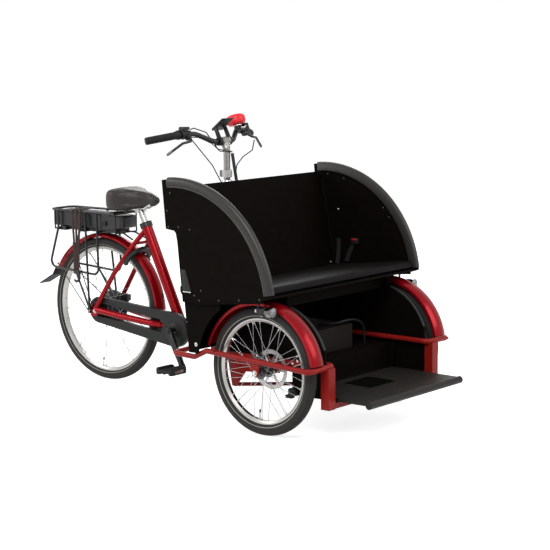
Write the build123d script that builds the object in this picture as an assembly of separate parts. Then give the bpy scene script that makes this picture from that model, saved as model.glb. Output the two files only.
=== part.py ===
from build123d import *
import os
from math import atan2, cos, degrees, pi, radians, sin, sqrt, tan

# Electric passenger tricycle: two 20 inch front wheels under a bench for passengers, one
# 26 inch driven rear wheel, a rear frame that the bench module steers against.
# Millimetres. x points forward and is measured from the rear axle, y points to the rider's
# left, z points up from the ground. Each piece moves back by MID_X when it is written, so
# the origin of the part is under the middle of its length.

# Driving dimensions of the running gear and the bench
WHEELBASE = 1284.0
ARC_R = 502.0
HALF_TRACK = 413.0
REAR_R = 328.0
FRONT_R = 257.0
REAR_TYRE_W = 47.0
FRONT_TYRE_W = 52.0
RIM_W = 28.0
RIM_DEPTH = 19.0
SPOKE_D = 2.0
SPOKES = 36
REAR_AXLE = (0.0, 0.0, REAR_R)
BB_X, BB_Z = REAR_R + 142.0, REAR_R - 46.0
CRANK_L = 170.0
CRANK_AXLE_R = 8.0
PEDAL_AXLE_R = 4.5
REAR_AXLE_R = 5.0
FRONT_AXLE_R = 6.0
PAD = 0.4
RUN = 0.08

# Centre of the side panels' round edge, in front of the head tube and behind the wheels
ARC_X = WHEELBASE - FRONT_R - 127.0
ARC_Z = 2 * FRONT_R - 9.0
HEAD_X = ARC_X - 158.0

# Reach of the part, front roll of the footboard and tip of the mudflap
ROLL_D = 30.0
ROLL_X, ROLL_Z = WHEELBASE + FRONT_R + 179.0, FRONT_R - 100.0
FLAP_TIP_X = -REAR_R - 94.0
FRONT_END_X = ROLL_X + ROLL_D / 2
MID_X = (FRONT_END_X + FLAP_TIP_X) / 2

# Rear frame
SEAT_TUBE_D = 48.0
SHELL_R = SEAT_TUBE_D / 2 + 3.0
SEAT_TOP = (BB_X - 212.0, 0.0, 2 * REAR_R + 72.0)
STAY_D = 22.0
CHAIN_STAY_D = 30.0
CHAIN_YOKE_D = 23.0
STAY_Y = 74.0
PLATE_T = 8.0
BEAM_D = 60.0
HEAD_TUBE_D = 44.0
HEAD_TUBE_LOW, HEAD_TUBE_HIGH = FRONT_R + 103.0, ARC_Z + ARC_R - 102.0
STEERER_D = 28.6
POST_D = 27.2
POST_TOP = (SEAT_TOP[0] - 32.0, 0.0, SEAT_TOP[2] + 64.0)

# Chain case
CASE_Y_IN, CASE_Y_OUT = 36.0, 60.0
CASE_R_REAR, CASE_R_FRONT = 60.0, 76.0
SLOT_REAR_X, SLOT_FRONT_X, SLOT_H = -20.0, BB_X - 68.0, 56.0

# Rear mudguard, carrier and battery
GUARD_R = REAR_R + 22.0
GUARD_W = 60.0
GUARD_T = 1.6
GUARD_CROWN, GUARD_LIP = 9.0, 18.0
GUARD_FRONT, GUARD_REAR = 4.0, 151.0
RACK_TOP_Z = 2 * REAR_R + 120.0
RACK_TUBE_D = 11.0
RACK_HALF_W = 72.0
RACK_REAR_X, RACK_FRONT_X = 36.0 - REAR_R, SEAT_TOP[0] - 128.0
BATTERY_W = 118.0

# Bench module
PANEL_Y = 495.0
PANEL_T = 10.0
TRIM_BAND = 50.0
TRIM_Y_OUT, TRIM_Y_IN = 500.0, 470.0
REAR_EDGE_X, REAR_EDGE_Z = ARC_X + 5.0, ARC_Z + 274.0
LEAN = 5.6
WALL_Y = 339.0
WALL_T = 8.0
ARCH_R = FRONT_R + 31.0
WALL_ARC_R = FRONT_R + 5.0
SEAT_FRONT_X = ARC_X + ARC_R - 17.0
SEAT_REAR_X, SEAT_REAR_Z = ARC_X + 52.0, ARC_Z + 52.0
SEAT_SLOPE = 6.3
CUSHION_T = 36.0
BOARD_T = 9.0
BACK_TOP = (ARC_X - 32.0, ARC_Z + ARC_R - 44.0)
BACK_T = 12.0
FLOOR_Z = FRONT_R + 15.0
FLOOR_T = 9.0

# Front frame
BAR_D = 22.0
BAR_Y = 466.0
BAR_FRONT_X, BAR_REAR_X = WHEELBASE + FRONT_R + 14.0, WHEELBASE - FRONT_R + 3.0
BAR_REAR_Z, BAR_FRONT_Z = FRONT_R + 60.0, FRONT_R + 34.0
INNER_Y = 319.0
POST_SIZE = 40.0
POST_X, POST_Y = BAR_FRONT_X - 2.0, 350.0
POST_LOW = ROLL_Z - 29.0
FENDER_R = FRONT_R + 27.0
FENDER_W = 70.0
FENDER_T = 2.0
FENDER_CROWN, FENDER_LIP = 8.0, 20.0
FENDER_FRONT, FENDER_REAR = 10.5, 163.0

# Handlebar
BAR_TUBE_D = 22.2
CLAMP = (HEAD_X - 14.0, 0.0, HEAD_TUBE_HIGH + 213.0)
GRIP_D = 32.0
GRIP_L = 124.0

parts = {}


def put(name, shape):
    """Name one piece, moved to the part's own origin."""
    parts[name] = Pos(-MID_X, 0, 0) * shape


def both(name, make):
    """The same piece on the right and, mirrored, on the left."""
    right = make()
    put(name + "_right", right)
    put(name + "_left", mirror(right, about=Plane.XZ))


def tube(points, diameter, bend=None):
    """Round bar or tube along straight runs joined by arcs of radius bend."""
    if len(points) == 2:
        path = Line(*points)
    else:
        path = FilletPolyline(*points, radius=bend)
    section = Plane(origin=path @ 0, z_dir=path % 0) * Circle(diameter / 2)
    return sweep(section, path=path)


def rod(start, end, diameter):
    """Straight round bar."""
    run = Vector(*end) - Vector(*start)
    plane = Plane(origin=start, z_dir=run)
    return plane * Cylinder(diameter / 2, run.length, align=(Align.CENTER, Align.CENTER, Align.MIN))


def slab(outline, y_low, y_high):
    """Flat plate from an outline in x and z, between two values of y."""
    face = make_face(Polyline(*[(x, 0, z) for x, z in outline], close=True))
    return Pos(0, y_low, 0) * extrude(face, amount=y_high - y_low, dir=(0, 1, 0))


def cross_disc(x, z, radius, y_low, y_high):
    """Cylinder across the vehicle between two values of y."""
    return Pos(x, (y_low + y_high) / 2, z) * Rot(90, 0, 0) * Cylinder(radius, abs(y_high - y_low))


def block(x_low, x_high, y_low, y_high, z_low, z_high):
    """Box between its limits."""
    size = (x_high - x_low, y_high - y_low, z_high - z_low)
    return Pos((x_low + x_high) / 2, (y_low + y_high) / 2, (z_low + z_high) / 2) * Box(*size)


def ring(profile):
    """Solid of revolution about the y axis from an outline of radius and width."""
    return revolve(make_face(Polyline(*profile, close=True)), axis=Axis.Y)


# Wheels


def tyre(radius, width):
    """Round tyre seated on its rim."""
    section = Pos(radius - width / 2, 0) * Circle(width / 2)
    return revolve(section, axis=Axis.Y) - rim(radius, width)


def rim(radius, tyre_width):
    """Box section rim with two flanges that hold the tyre's bead."""
    top = radius - tyre_width + RIM_DEPTH * 0.6
    half = RIM_W / 2
    outline = [
        (top - RIM_DEPTH, -half * 0.55), (top - RIM_DEPTH * 0.55, -half), (top, -half),
        (top, -half + 2), (top - 7, -half + 2), (top - 7, half - 2), (top, half - 2),
        (top, half), (top - RIM_DEPTH * 0.55, half), (top - RIM_DEPTH, half * 0.55),
    ]
    return ring(outline)


def hub(length, flange_r, flange_y, barrel_r, axle_d):
    """Hub shell with two spoke flanges on a through axle."""
    outline = [
        (0.01, -length / 2), (axle_d / 2, -length / 2), (axle_d / 2, -flange_y - 9),
        (barrel_r * 0.8, -flange_y - 9), (barrel_r, -flange_y - 2), (flange_r, -flange_y - 2),
        (flange_r, -flange_y + 2), (barrel_r, -flange_y + 3), (barrel_r, flange_y - 3),
        (flange_r, flange_y - 2), (flange_r, flange_y + 2), (barrel_r, flange_y + 2),
        (barrel_r * 0.8, flange_y + 9), (axle_d / 2, flange_y + 9), (axle_d / 2, length / 2),
        (0.01, length / 2),
    ]
    return ring(outline)


def spokes(rim_r, flange_r, flange_y, crosses=3):
    """Crossed spokes, inner and outer heads alternating on each flange."""
    wires = []
    per_side = SPOKES // 2
    pair = per_side // 2
    for side in (-1, 1):
        for k in range(pair):
            for lead, head in ((1, 2.6), (-1, -2.6)):
                hub_a = 2 * pi * (k + (0.25 if side > 0 else 0.0)) / pair
                rim_a = hub_a + lead * 2 * pi * crosses / per_side * 0.92
                start = (flange_r * cos(hub_a + lead * 0.1), side * flange_y + head,
                         flange_r * sin(hub_a + lead * 0.1))
                end = (rim_r * cos(rim_a), side * 3.0 + head * 0.5, rim_r * sin(rim_a))
                wires.append(rod(start, end, SPOKE_D))
    return Compound(children=wires)


def wheel(name, centre, radius, width, hub_args):
    """Tyre, rim, hub and spokes of one wheel."""
    length, flange_r, flange_y, barrel_r, axle_d = hub_args
    bead = radius - width + RIM_DEPTH * 0.6
    put(name + "_tyre", Pos(*centre) * tyre(radius, width))
    put(name + "_rim", Pos(*centre) * rim(radius, width))
    put(name + "_hub", Pos(*centre) * hub(*hub_args))
    put(name + "_spokes", Pos(*centre) * spokes(bead - RIM_DEPTH - 0.8, flange_r + 1.4, flange_y))


# Hub sizes: length over the axle, flange radius, flange place, barrel radius, axle diameter
REAR_HUB = (2 * (STAY_Y + PLATE_T / 2) + 6, 46.0, 23.0, 38.0, 2 * REAR_AXLE_R)
FRONT_HUB = (118.0, 29.0, 24.0, 17.0, 2 * FRONT_AXLE_R)

wheel("rear_wheel", REAR_AXLE, REAR_R, REAR_TYRE_W, REAR_HUB)

DISC_R, DISC_T = 80.0, 2.0
DISC_OFFSET = 45.0


def brake_disc(centre, inboard):
    """Drilled brake disc with six arms on the inboard side of the hub."""
    y = centre[1] + inboard * DISC_OFFSET
    disc = cross_disc(centre[0], centre[2], DISC_R, y - DISC_T / 2, y + DISC_T / 2)
    disc -= cross_disc(centre[0], centre[2], DISC_R - 17, y - DISC_T, y + DISC_T)
    arm = Pos(centre[0], y, centre[2]) * Box(2 * DISC_R - 20, DISC_T, 9)
    for turn in (0, 60, 120):
        disc += arm.rotate(Axis((centre[0], y, centre[2]), (0, 1, 0)), turn)
    disc -= cross_disc(centre[0], centre[2], 24, y - DISC_T, y + DISC_T)
    return disc


for side_name, side in (("right", -1), ("left", 1)):
    axle = (WHEELBASE, side * HALF_TRACK, FRONT_R)
    wheel("front_wheel_" + side_name, axle, FRONT_R, FRONT_TYRE_W, FRONT_HUB)
    put("front_wheel_" + side_name + "_disc", brake_disc(axle, -side))


# Rear frame: one welded piece

# Places along the run from crank to head tube: the beam's two bends and the strut's foot
BEAM_LOW, BEAM_HIGH, STRUT_SHARE = 100 / 272, 212 / 272, 112 / 272


def seat_spot(back, y, down):
    """Point measured from the seat tube's mouth."""
    return (SEAT_TOP[0] + back, y, SEAT_TOP[2] + down)


def post_spot(forward, y, above):
    """Point measured from the seat post's top."""
    return (POST_TOP[0] + forward, y, POST_TOP[2] + above)


def rear_frame():
    """Seat tube, stays, crank shell, main beam and head tube."""
    shell = cross_disc(BB_X, BB_Z, SHELL_R, -34, 34)
    frame = shell + rod((BB_X, 0, BB_Z), SEAT_TOP, SEAT_TUBE_D)
    run = HEAD_X - BB_X
    beam = [(BB_X, 0, BB_Z), (BB_X + run * BEAM_LOW, 0, BB_Z + 36),
            (BB_X + run * BEAM_HIGH, 0, HEAD_TUBE_LOW + 110), (HEAD_X, 0, HEAD_TUBE_LOW + 160)]
    frame += tube(beam, BEAM_D, min(BEAM_D, run / 4.5))
    frame += rod((HEAD_X, 0, HEAD_TUBE_LOW), (HEAD_X, 0, HEAD_TUBE_HIGH), HEAD_TUBE_D)
    frame += rod((BB_X + run * STRUT_SHARE, 0, HEAD_TUBE_LOW + 12), (HEAD_X, 0, HEAD_TUBE_LOW + 35), 38)
    for side in (-1, 1):
        drop = (-6, side * STAY_Y, REAR_R + 4)
        frame += tube([(BB_X - 6, side * 20, BB_Z), (BB_X - 70, side * 23, BB_Z + 8),
                       (BB_X - 140, side * 41, BB_Z + 14), (BB_X - 220, side * 49, REAR_R - 24)],
                      CHAIN_YOKE_D, 60)
        frame += tube([(BB_X - 98, side * 31, BB_Z + 12), (BB_X - 140, side * 41, BB_Z + 14),
                       (BB_X - 330, side * 60, REAR_R - 14), drop], CHAIN_STAY_D, 60)
        frame += tube([seat_spot(-2, side * 14, -28), seat_spot(-43, side * 52, -96),
                       seat_spot(-146, side * 66, -223), drop], STAY_D, 30)
        frame += cross_disc(-10, REAR_R + 2, 30, side * (STAY_Y - PLATE_T / 2), side * (STAY_Y + PLATE_T / 2))
    bridge = seat_spot(-34, 0, -80)
    frame += cross_disc(bridge[0], bridge[2], 7, -50, 50)
    frame -= cross_disc(BB_X, BB_Z, CRANK_AXLE_R + RUN, -40, 40)
    frame -= cross_disc(0, REAR_R, REAR_AXLE_R + RUN, -STAY_Y - 20, STAY_Y + 20)
    post_dir = Vector(*POST_TOP) - Vector(*SEAT_TOP)
    deep = Vector(*SEAT_TOP) - post_dir.normalized() * 130
    frame -= rod(tuple(deep), POST_TOP, POST_D + 2 * PAD)
    frame -= rod((HEAD_X, 0, HEAD_TUBE_LOW - 10), (HEAD_X, 0, HEAD_TUBE_HIGH + 10), STEERER_D + 2 * RUN)
    return frame


put("rear_frame", rear_frame())


def arc_band(centre, r_in, r_out, a_start, a_end, y_low, y_high):
    """Band of a ring between two angles from the forward direction, upwards positive."""
    cx, cz = centre
    step = radians(a_end - a_start) / 2

    def at(r, a):
        return (cx + r * cos(a), 0, cz + r * sin(a))

    a0, a1 = radians(a_start), radians(a_end)
    edges = [
        ThreePointArc(at(r_out, a0), at(r_out, a0 + step), at(r_out, a1)),
        Line(at(r_out, a1), at(r_in, a1)),
        ThreePointArc(at(r_in, a1), at(r_in, a0 + step), at(r_in, a0)),
        Line(at(r_in, a0), at(r_out, a0)),
    ]
    return Pos(0, y_low, 0) * extrude(make_face(edges), amount=y_high - y_low, dir=(0, 1, 0))


def mudguard_shell(centre, radius, width, crown, lip, thick, a_start, a_end):
    """Sheet mudguard: an arched crown with a lip turned down along each edge."""
    half = width / 2
    foot, shoulder = radius - lip, radius - crown
    inner = shoulder - thick / 2
    edges = [
        Line((foot, -half), (shoulder, -half)),
        ThreePointArc((shoulder, -half), (radius, 0), (shoulder, half)),
        Line((shoulder, half), (foot, half)),
        Line((foot, half), (foot, half - thick)),
        Line((foot, half - thick), (inner, half - thick)),
        ThreePointArc((inner, half - thick), (radius - thick, 0), (inner, thick - half)),
        Line((inner, thick - half), (foot, thick - half)),
        Line((foot, thick - half), (foot, -half)),
    ]
    section = Rot(0, -a_end, 0) * make_face(edges)
    shell = revolve(section, axis=Axis.Y, revolution_arc=a_end - a_start)
    return Pos(centre[0], 0, centre[1]) * shell


def rear_mudguard():
    """Red sheet mudguard from the chain case round to the flap."""
    return mudguard_shell((0, REAR_R), GUARD_R, GUARD_W, GUARD_CROWN, GUARD_LIP, GUARD_T,
                          GUARD_FRONT, GUARD_REAR)


put("rear_mudguard", rear_mudguard())


def mudguard_stays():
    """Two wire stays a side from the mudguard's rear part to bolts in the axle plates."""
    wires = []
    plate_face = STAY_Y + PLATE_T / 2 + 0.1
    for side in (-1, 1):
        for angle, foot in ((146, (-34, REAR_R - 10)), (122, (-14, REAR_R + 24))):
            a = radians(angle)
            top = (GUARD_R * cos(a), side * (GUARD_W / 2 + 3), REAR_R + GUARD_R * sin(a) - 4)
            wire = rod(top, (foot[0], side * 85, foot[1]), 4.5)
            wires.append(wire + cross_disc(foot[0], foot[1], 4.5, side * plate_face, side * 88))
    return Compound(children=wires)


put("mudguard_stays", mudguard_stays())


def mudflap():
    """Flared rubber flap at the mudguard's rear end."""
    tail = radians(GUARD_REAR)
    x0, z0 = (GUARD_R + 1) * cos(tail), REAR_R + (GUARD_R + 1) * sin(tail)
    outline = [(x0, z0), (x0 - 22, z0 - 34), (FLAP_TIP_X, z0 - 84), (FLAP_TIP_X + 3, z0 - 87),
               (x0 - 17, z0 - 38), (x0 + 4, z0 - 3)]
    flap = slab(outline, -33, 33)
    return flap


put("mudflap", mudflap())


def chain_case():
    """Closed chain case with the long slot that the right chain stay passes."""
    hull = make_hull(
        (Pos(0, REAR_R) * Circle(CASE_R_REAR)).edges() + (Pos(BB_X, BB_Z) * Circle(CASE_R_FRONT)).edges()
    )
    slot_dir = degrees(atan2(BB_Z - REAR_R, BB_X))
    mid = (SLOT_REAR_X + SLOT_FRONT_X) / 2
    slot = SlotOverall(SLOT_FRONT_X - SLOT_REAR_X, SLOT_H)
    slot = Pos(mid, REAR_R + (BB_Z - REAR_R) * mid / BB_X + 3) * Rot(0, 0, slot_dir) * slot
    window = Pos(BB_X, BB_Z) * Circle(26)
    face = hull - slot - window
    case = extrude(Plane.XZ * face, amount=CASE_Y_OUT - CASE_Y_IN)
    case = Pos(0, -CASE_Y_IN, 0) * case
    rims = case.faces().filter_by(Axis.Y).sort_by(Axis.Y)[0].edges()
    return fillet(rims, 6)


put("chain_case", chain_case())


# Rear brake and ring lock


def rear_brake():
    """Drum brake on the hub's left side with its cooling disc and cable clamp."""
    axle_room = cross_disc(0, REAR_R, REAR_AXLE_R + RUN, 20, 80)
    drum = cross_disc(0, REAR_R, 62, 38, 44) + cross_disc(0, REAR_R, 44, 44, 52)
    for y in (35, 44):
        drum += cross_disc(0, REAR_R, 80, y, y + 3)
    arm = [(0, 30), (50, 58), (56, 72), (90, 66), (92, 36), (40, -4), (0, -20)]
    drum += slab([(x, REAR_R + z) for x, z in arm], 38, 50)
    drum += block(58, 90, 44, 62, REAR_R + 38, REAR_R + 66)
    return drum - axle_room - cross_disc(0, REAR_R, 39, 20, 38 + PAD)


put("rear_brake", rear_brake())

LOCK_ANGLE, LOCK_R = 51.0, REAR_R - 18.0
LOCK_R_IN, LOCK_R_OUT, LOCK_T = 56.0, 74.0, 16.0


def ring_lock():
    """Horseshoe lock round tyre and mudguard, in front of the seat stays."""
    a = radians(LOCK_ANGLE)
    centre = (LOCK_R * cos(a), 0, REAR_R + LOCK_R * sin(a))
    plane = Plane(origin=centre, x_dir=(0, 1, 0), z_dir=(sin(a), 0, -cos(a)))
    horseshoe = Circle(LOCK_R_OUT) - Circle(LOCK_R_IN) - Pos(0, -64) * Rectangle(4 * LOCK_R_OUT, 88)
    lock = plane * extrude(horseshoe, amount=LOCK_T / 2, both=True)
    barrel = Pos(64, -10) * Rectangle(16, 30)
    return lock + plane * (Pos(0, 0, -LOCK_T / 2) * extrude(barrel, amount=LOCK_T + 10))


put("ring_lock", ring_lock())


# Crank and pedals

ARM_Y = 84.0
PEDAL_Y_IN, PEDAL_Y_OUT = 116.0, 212.0
CRANK_DIR = (0.46, -0.888)


def crank_set():
    """Axle and both arms, the right one low and forward as it stands."""
    axle = cross_disc(BB_X, BB_Z, CRANK_AXLE_R, -ARM_Y - 10, ARM_Y + 10)
    for side, way in ((-1, 1), (1, -1)):
        end = (BB_X + way * CRANK_L * CRANK_DIR[0], BB_Z + way * CRANK_L * CRANK_DIR[1])
        start_y, end_y = side * ARM_Y, side * (ARM_Y + 14)
        axle += cross_disc(BB_X, BB_Z, 17, side * (ARM_Y - 8), side * (ARM_Y + 12))
        axle += rod((BB_X, start_y + side * 2, BB_Z), (end[0], end_y, end[1]), 19)
        axle += cross_disc(end[0], end[1], 13, side * (ARM_Y + 6), side * (ARM_Y + 22))
        axle += cross_disc(end[0], end[1], PEDAL_AXLE_R, side * (ARM_Y + 20), side * (PEDAL_Y_OUT - 6))
    return axle


put("crank_set", crank_set())


def pedal(side, way):
    """Platform pedal on its spindle."""
    x = BB_X + way * CRANK_L * CRANK_DIR[0]
    z = BB_Z + way * CRANK_L * CRANK_DIR[1]
    y_low, y_high = sorted((side * PEDAL_Y_IN, side * PEDAL_Y_OUT))
    body = cross_disc(x, z, 12, y_low, y_high)
    for offset in (-36, 36):
        body += block(x + offset - 8, x + offset + 8, y_low, y_high, z - 12, z + 12)
    for y_end in (y_low + 8, y_high - 8):
        body += block(x - 40, x + 40, y_end - 8, y_end + 8, z - 7, z + 7)
    return body - cross_disc(x, z, PEDAL_AXLE_R + RUN, side * (PEDAL_Y_IN - 5), side * (PEDAL_Y_OUT - 5))


put("pedal_right", pedal(-1, 1))
put("pedal_left", pedal(1, -1))


# Seat


def seat_post():
    """Straight silver post with the saddle clamp on top."""
    post_dir = (Vector(*POST_TOP) - Vector(*SEAT_TOP)).normalized()
    foot = Vector(*SEAT_TOP) - post_dir * 110
    post = rod(tuple(foot), POST_TOP, POST_D)
    post += cross_disc(POST_TOP[0], POST_TOP[2] + 2, 11, -26, 26)
    for side in (-1, 1):
        rail = [(-98, 30, 9), (-36, 22, 11), (36, 20, 11), (74, 16, 32)]
        post += tube([post_spot(x, side * y, z) for x, y, z in rail], 7, 25)
    return post


put("seat_post", seat_post())


def seat_clamp():
    """Collar round the seat tube's mouth with its lever on the left."""
    axis_dir = (Vector(*SEAT_TOP) - Vector(BB_X, 0, BB_Z)).normalized()
    low = Vector(*SEAT_TOP) - axis_dir * 10
    high = Vector(*SEAT_TOP) + axis_dir * 12
    collar = rod(tuple(low), tuple(high), SEAT_TUBE_D + 8)
    collar += rod(seat_spot(-20, -14, -6), seat_spot(-20, 34, -6), 10)
    collar += rod(seat_spot(-20, 30, -6), seat_spot(-62, 38, -16), 8)
    post_dir = (Vector(*POST_TOP) - Vector(*SEAT_TOP)).normalized()
    a = Vector(*SEAT_TOP) - post_dir * 40
    collar -= rod(tuple(a), POST_TOP, POST_D + 2 * PAD)
    collar -= rod(tuple(Vector(*SEAT_TOP) - axis_dir * 60), SEAT_TOP, SEAT_TUBE_D)
    return collar


put("seat_clamp", seat_clamp())

# The saddle is drawn round the post's top at SADDLE_FROM and then set on the post
SADDLE_FROM = (226.0, 792.0)
SADDLE_NOSE_X = 342.0
SADDLE_HALF_W, SADDLE_WIDE_X, SADDLE_WING_R = 106.0, 112.0, 92.0
SADDLE_NOSE_R = 27.0
SADDLE_SIDE = [(18, 812), (18, 868), (40, 886), (96, 893), (180, 886), (270, 874), (346, 864), (346, 834),
               (262, 824), (196, 812), (124, 805)]


def saddle():
    """Wide saddle: round wings behind, a narrow nose in front, rounded along the top."""
    wings = Pos(SADDLE_WIDE_X, 0) * Ellipse(SADDLE_WING_R, SADDLE_HALF_W)
    nose = Pos(SADDLE_NOSE_X - SADDLE_NOSE_R, 0) * Circle(SADDLE_NOSE_R)
    side = [(150, 98), (196, 72), (236, 46), (276, 33), (316, SADDLE_NOSE_R)]
    waist = side + [(x, -y) for x, y in reversed(side)]
    plan = wings + nose + make_face(Polyline(*waist, close=True))
    body = Pos(0, 0, 780) * extrude(plan, amount=120)
    return Pos(*post_spot(-SADDLE_FROM[0], 0, -SADDLE_FROM[1])) * (body & slab(SADDLE_SIDE, -120, 120))


put("saddle", saddle())


# Carrier and battery


FOOT_Y = 90.0
FOOT_X, FOOT_Z = -27.0, REAR_R + 8
LOOP_D, LEG_D = 10.5, 10.0
CRADLE_Z, CRADLE_REAR_X = RACK_TOP_Z - 88.0, RACK_REAR_X + 30.0
STRUT_Y, STRUT_D = 67.0, 7.0
LOOP_REAR_X, LOOP_FRONT_X = RACK_REAR_X + 56.0, 16.0


def carrier():
    """Carrier top: tube frame, cross bars and the battery's cradle with its struts."""
    z = RACK_TOP_Z
    w = RACK_HALF_W
    rack = tube([(RACK_FRONT_X, -w, z), (RACK_REAR_X, -w, z), (RACK_REAR_X, w, z), (RACK_FRONT_X, w, z)],
                RACK_TUBE_D, 40)
    for x in (RACK_REAR_X + 120, RACK_FRONT_X - 60, RACK_FRONT_X):
        rack += rod((x, -w, z), (x, w, z), RACK_TUBE_D - 2)
    reach = w - LOOP_D / 2 - 0.1
    for x in (LOOP_REAR_X, LOOP_FRONT_X):
        rack += rod((x, -reach, CRADLE_Z), (x, reach, CRADLE_Z), RACK_TUBE_D - 2)
    for side in (-1, 1):
        rack += tube([(RACK_REAR_X + 52, side * 36, CRADLE_Z), (RACK_FRONT_X + 20, side * 36, CRADLE_Z),
                      seat_spot(-47, side * 42, -64)], RACK_TUBE_D - 3, 15)
    for x in (CRADLE_REAR_X, RACK_FRONT_X):
        rack += rod((x, -STRUT_Y, CRADLE_Z), (x, STRUT_Y, CRADLE_Z), STRUT_D)
        for side in (-1, 1):
            rack += rod((x, side * STRUT_Y, CRADLE_Z), (x, side * STRUT_Y, z), STRUT_D)
    return rack


def carrier_side():
    """Right pannier loop with the two legs that stand on the axle plate."""
    z = RACK_TOP_Z
    y = -RACK_HALF_W
    foot = (FOOT_X, -FOOT_Y, FOOT_Z)
    frame = tube([(LOOP_REAR_X, y, z), (LOOP_REAR_X, y, z - 80), (RACK_REAR_X - 8, y, z - 265),
                  (LOOP_FRONT_X + 4, y, z - 285),
                  (LOOP_FRONT_X, y, z - 60), (LOOP_FRONT_X, y, z)], LOOP_D, 30)
    frame += rod((-130, y, z - 275), foot, LEG_D - 0.5)
    frame += rod((-60, y, z), foot, LEG_D)
    frame += cross_disc(FOOT_X, FOOT_Z, 8, -FOOT_Y - 5, -STAY_Y - PLATE_T / 2 - PAD)
    return frame - rod((RACK_REAR_X - 20, y, z), (RACK_FRONT_X + 20, y, z), RACK_TUBE_D + 0.1)


put("carrier", carrier())
both("carrier_side", carrier_side)


def battery():
    """Battery case on its rail under the carrier's top frame."""
    low = CRADLE_Z + RACK_TUBE_D / 2 + PAD
    top = RACK_TOP_Z - RACK_TUBE_D / 2 - PAD
    rear, front = RACK_REAR_X + 10, SEAT_TOP[0] - 54
    outline = [(rear, top - 4), (rear + 4, low + 20), (rear + 28, low), (front - 64, low),
               (front - 12, low + 22), (front, top - 14), (front - 8, top), (rear + 6, top)]
    case = slab(outline, -BATTERY_W / 2, BATTERY_W / 2)
    return case


put("battery", battery())


# Bench module: side panels


def arc_point(radius, angle):
    return (ARC_X + radius * cos(radians(angle)), ARC_Z + radius * sin(radians(angle)))


def rear_x(z):
    """The module's leaning rear plane."""
    return REAR_EDGE_X + (REAR_EDGE_Z - z) * tan(radians(LEAN))


def seat_line(x):
    """Height of the cushion's top at x."""
    return SEAT_REAR_Z + (x - SEAT_REAR_X) * tan(radians(SEAT_SLOPE))


def under_board(x):
    """Height just under the bench board at x."""
    return seat_line(x) - CUSHION_T - BOARD_T - PAD


PANEL_TOP_ANGLE = 98.3
PANEL_LOW_ANGLE = 6.8
TRIM_LOW_ANGLE = 8.2
PANEL_EDGE_R = ARC_R - 8
SEAM_Z = ARC_Z + 5


def side_panel():
    """Quarter round upper side panel with the step in its rear edge."""
    p_top = arc_point(PANEL_EDGE_R, PANEL_TOP_ANGLE)
    p_mid = arc_point(PANEL_EDGE_R, (PANEL_TOP_ANGLE + PANEL_LOW_ANGLE) / 2)
    p_low = arc_point(PANEL_EDGE_R, PANEL_LOW_ANGLE)
    rear = [p_low, (SEAT_FRONT_X - 62, ARC_Z + 36), (SEAT_REAR_X + 38, ARC_Z + 4), (rear_x(SEAM_Z), SEAM_Z),
            (rear_x(REAR_EDGE_Z), REAR_EDGE_Z), (REAR_EDGE_X - 13, REAR_EDGE_Z + 14),
            (REAR_EDGE_X - 58, REAR_EDGE_Z + 19), p_top]
    edges = [ThreePointArc((p_top[0], 0, p_top[1]), (p_mid[0], 0, p_mid[1]), (p_low[0], 0, p_low[1]))]
    for a, b in zip(rear[:-1], rear[1:]):
        edges.append(Line((a[0], 0, a[1]), (b[0], 0, b[1])))
    plate = extrude(make_face(edges), amount=PANEL_T, dir=(0, 1, 0))
    return Pos(0, -PANEL_Y, 0) * plate


both("side_panel", side_panel)


def edge_trim():
    """Rounded edging that wraps the panel's curved edge."""
    band = arc_band((ARC_X, ARC_Z), ARC_R - TRIM_BAND, ARC_R, TRIM_LOW_ANGLE,
                    95.0, -TRIM_Y_OUT, -TRIM_Y_IN)
    long_edges = band.edges().filter_by(GeomType.CIRCLE)
    band = fillet(long_edges, 7)
    return band - side_panel()


both("edge_trim", edge_trim)


def lower_side_panel():
    """Panel below the seam, behind the wheel, cut round the wheel arch."""
    z_low = BAR_REAR_Z - 11
    x_rear, x_front = rear_x(SEAM_Z - 3), WHEELBASE - 164
    outline = [(x_rear, under_board(x_rear)), (rear_x(z_low), z_low), (x_front, z_low),
               (x_front, under_board(x_front))]
    plate = slab(outline, -PANEL_Y + PANEL_T + PAD, -BAR_Y - BAR_D / 2 - 1)
    return plate - cross_disc(WHEELBASE, FRONT_R, ARCH_R, -PANEL_Y - 5, -PANEL_Y + 40)


both("lower_side_panel", lower_side_panel)


WALL_STEP_X, WALL_FRONT_X, WALL_LOW = WHEELBASE + 94, WHEELBASE + FRONT_R - 11, FRONT_R - 91
WALL_TOP_X = WHEELBASE + 61
REAR_WALL_T = 9.0
STUD_Z = FRONT_R + 35
STUDS_X = (WHEELBASE - 184, WHEELBASE + 104, WHEELBASE + 183)


def inner_wall():
    """Wall between the footwell and the wheel, with its curved front edge."""
    low = FLOOR_Z - FLOOR_T
    back = 5 + REAR_WALL_T + PAD
    top_x = rear_x(SEAM_Z) + back

    def bow(x):
        return (x, 0, FRONT_R + sqrt(WALL_ARC_R ** 2 - (x - WHEELBASE) ** 2))

    outline = [bow(WALL_TOP_X), (WALL_TOP_X, 0, under_board(WALL_TOP_X)), (top_x, 0, under_board(top_x)),
               (rear_x(low) + back, 0, low), (WALL_STEP_X, 0, low), (WALL_STEP_X, 0, WALL_LOW),
               (WALL_FRONT_X, 0, WALL_LOW), bow(WALL_FRONT_X)]
    edges = [ThreePointArc(bow(WALL_FRONT_X), bow((WALL_TOP_X + WALL_FRONT_X) / 2), bow(WALL_TOP_X))]
    for start, end in zip(outline[:-1], outline[1:]):
        edges.append(Line(start, end))
    wall = Pos(0, -WALL_Y, 0) * extrude(make_face(edges), amount=WALL_T, dir=(0, 1, 0))
    for x in STUDS_X:
        wall -= cross_disc(x, STUD_Z, 6 + PAD, -WALL_Y - 5, -WALL_Y + WALL_T + 5)
    return wall


both("inner_wall", inner_wall)


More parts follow.
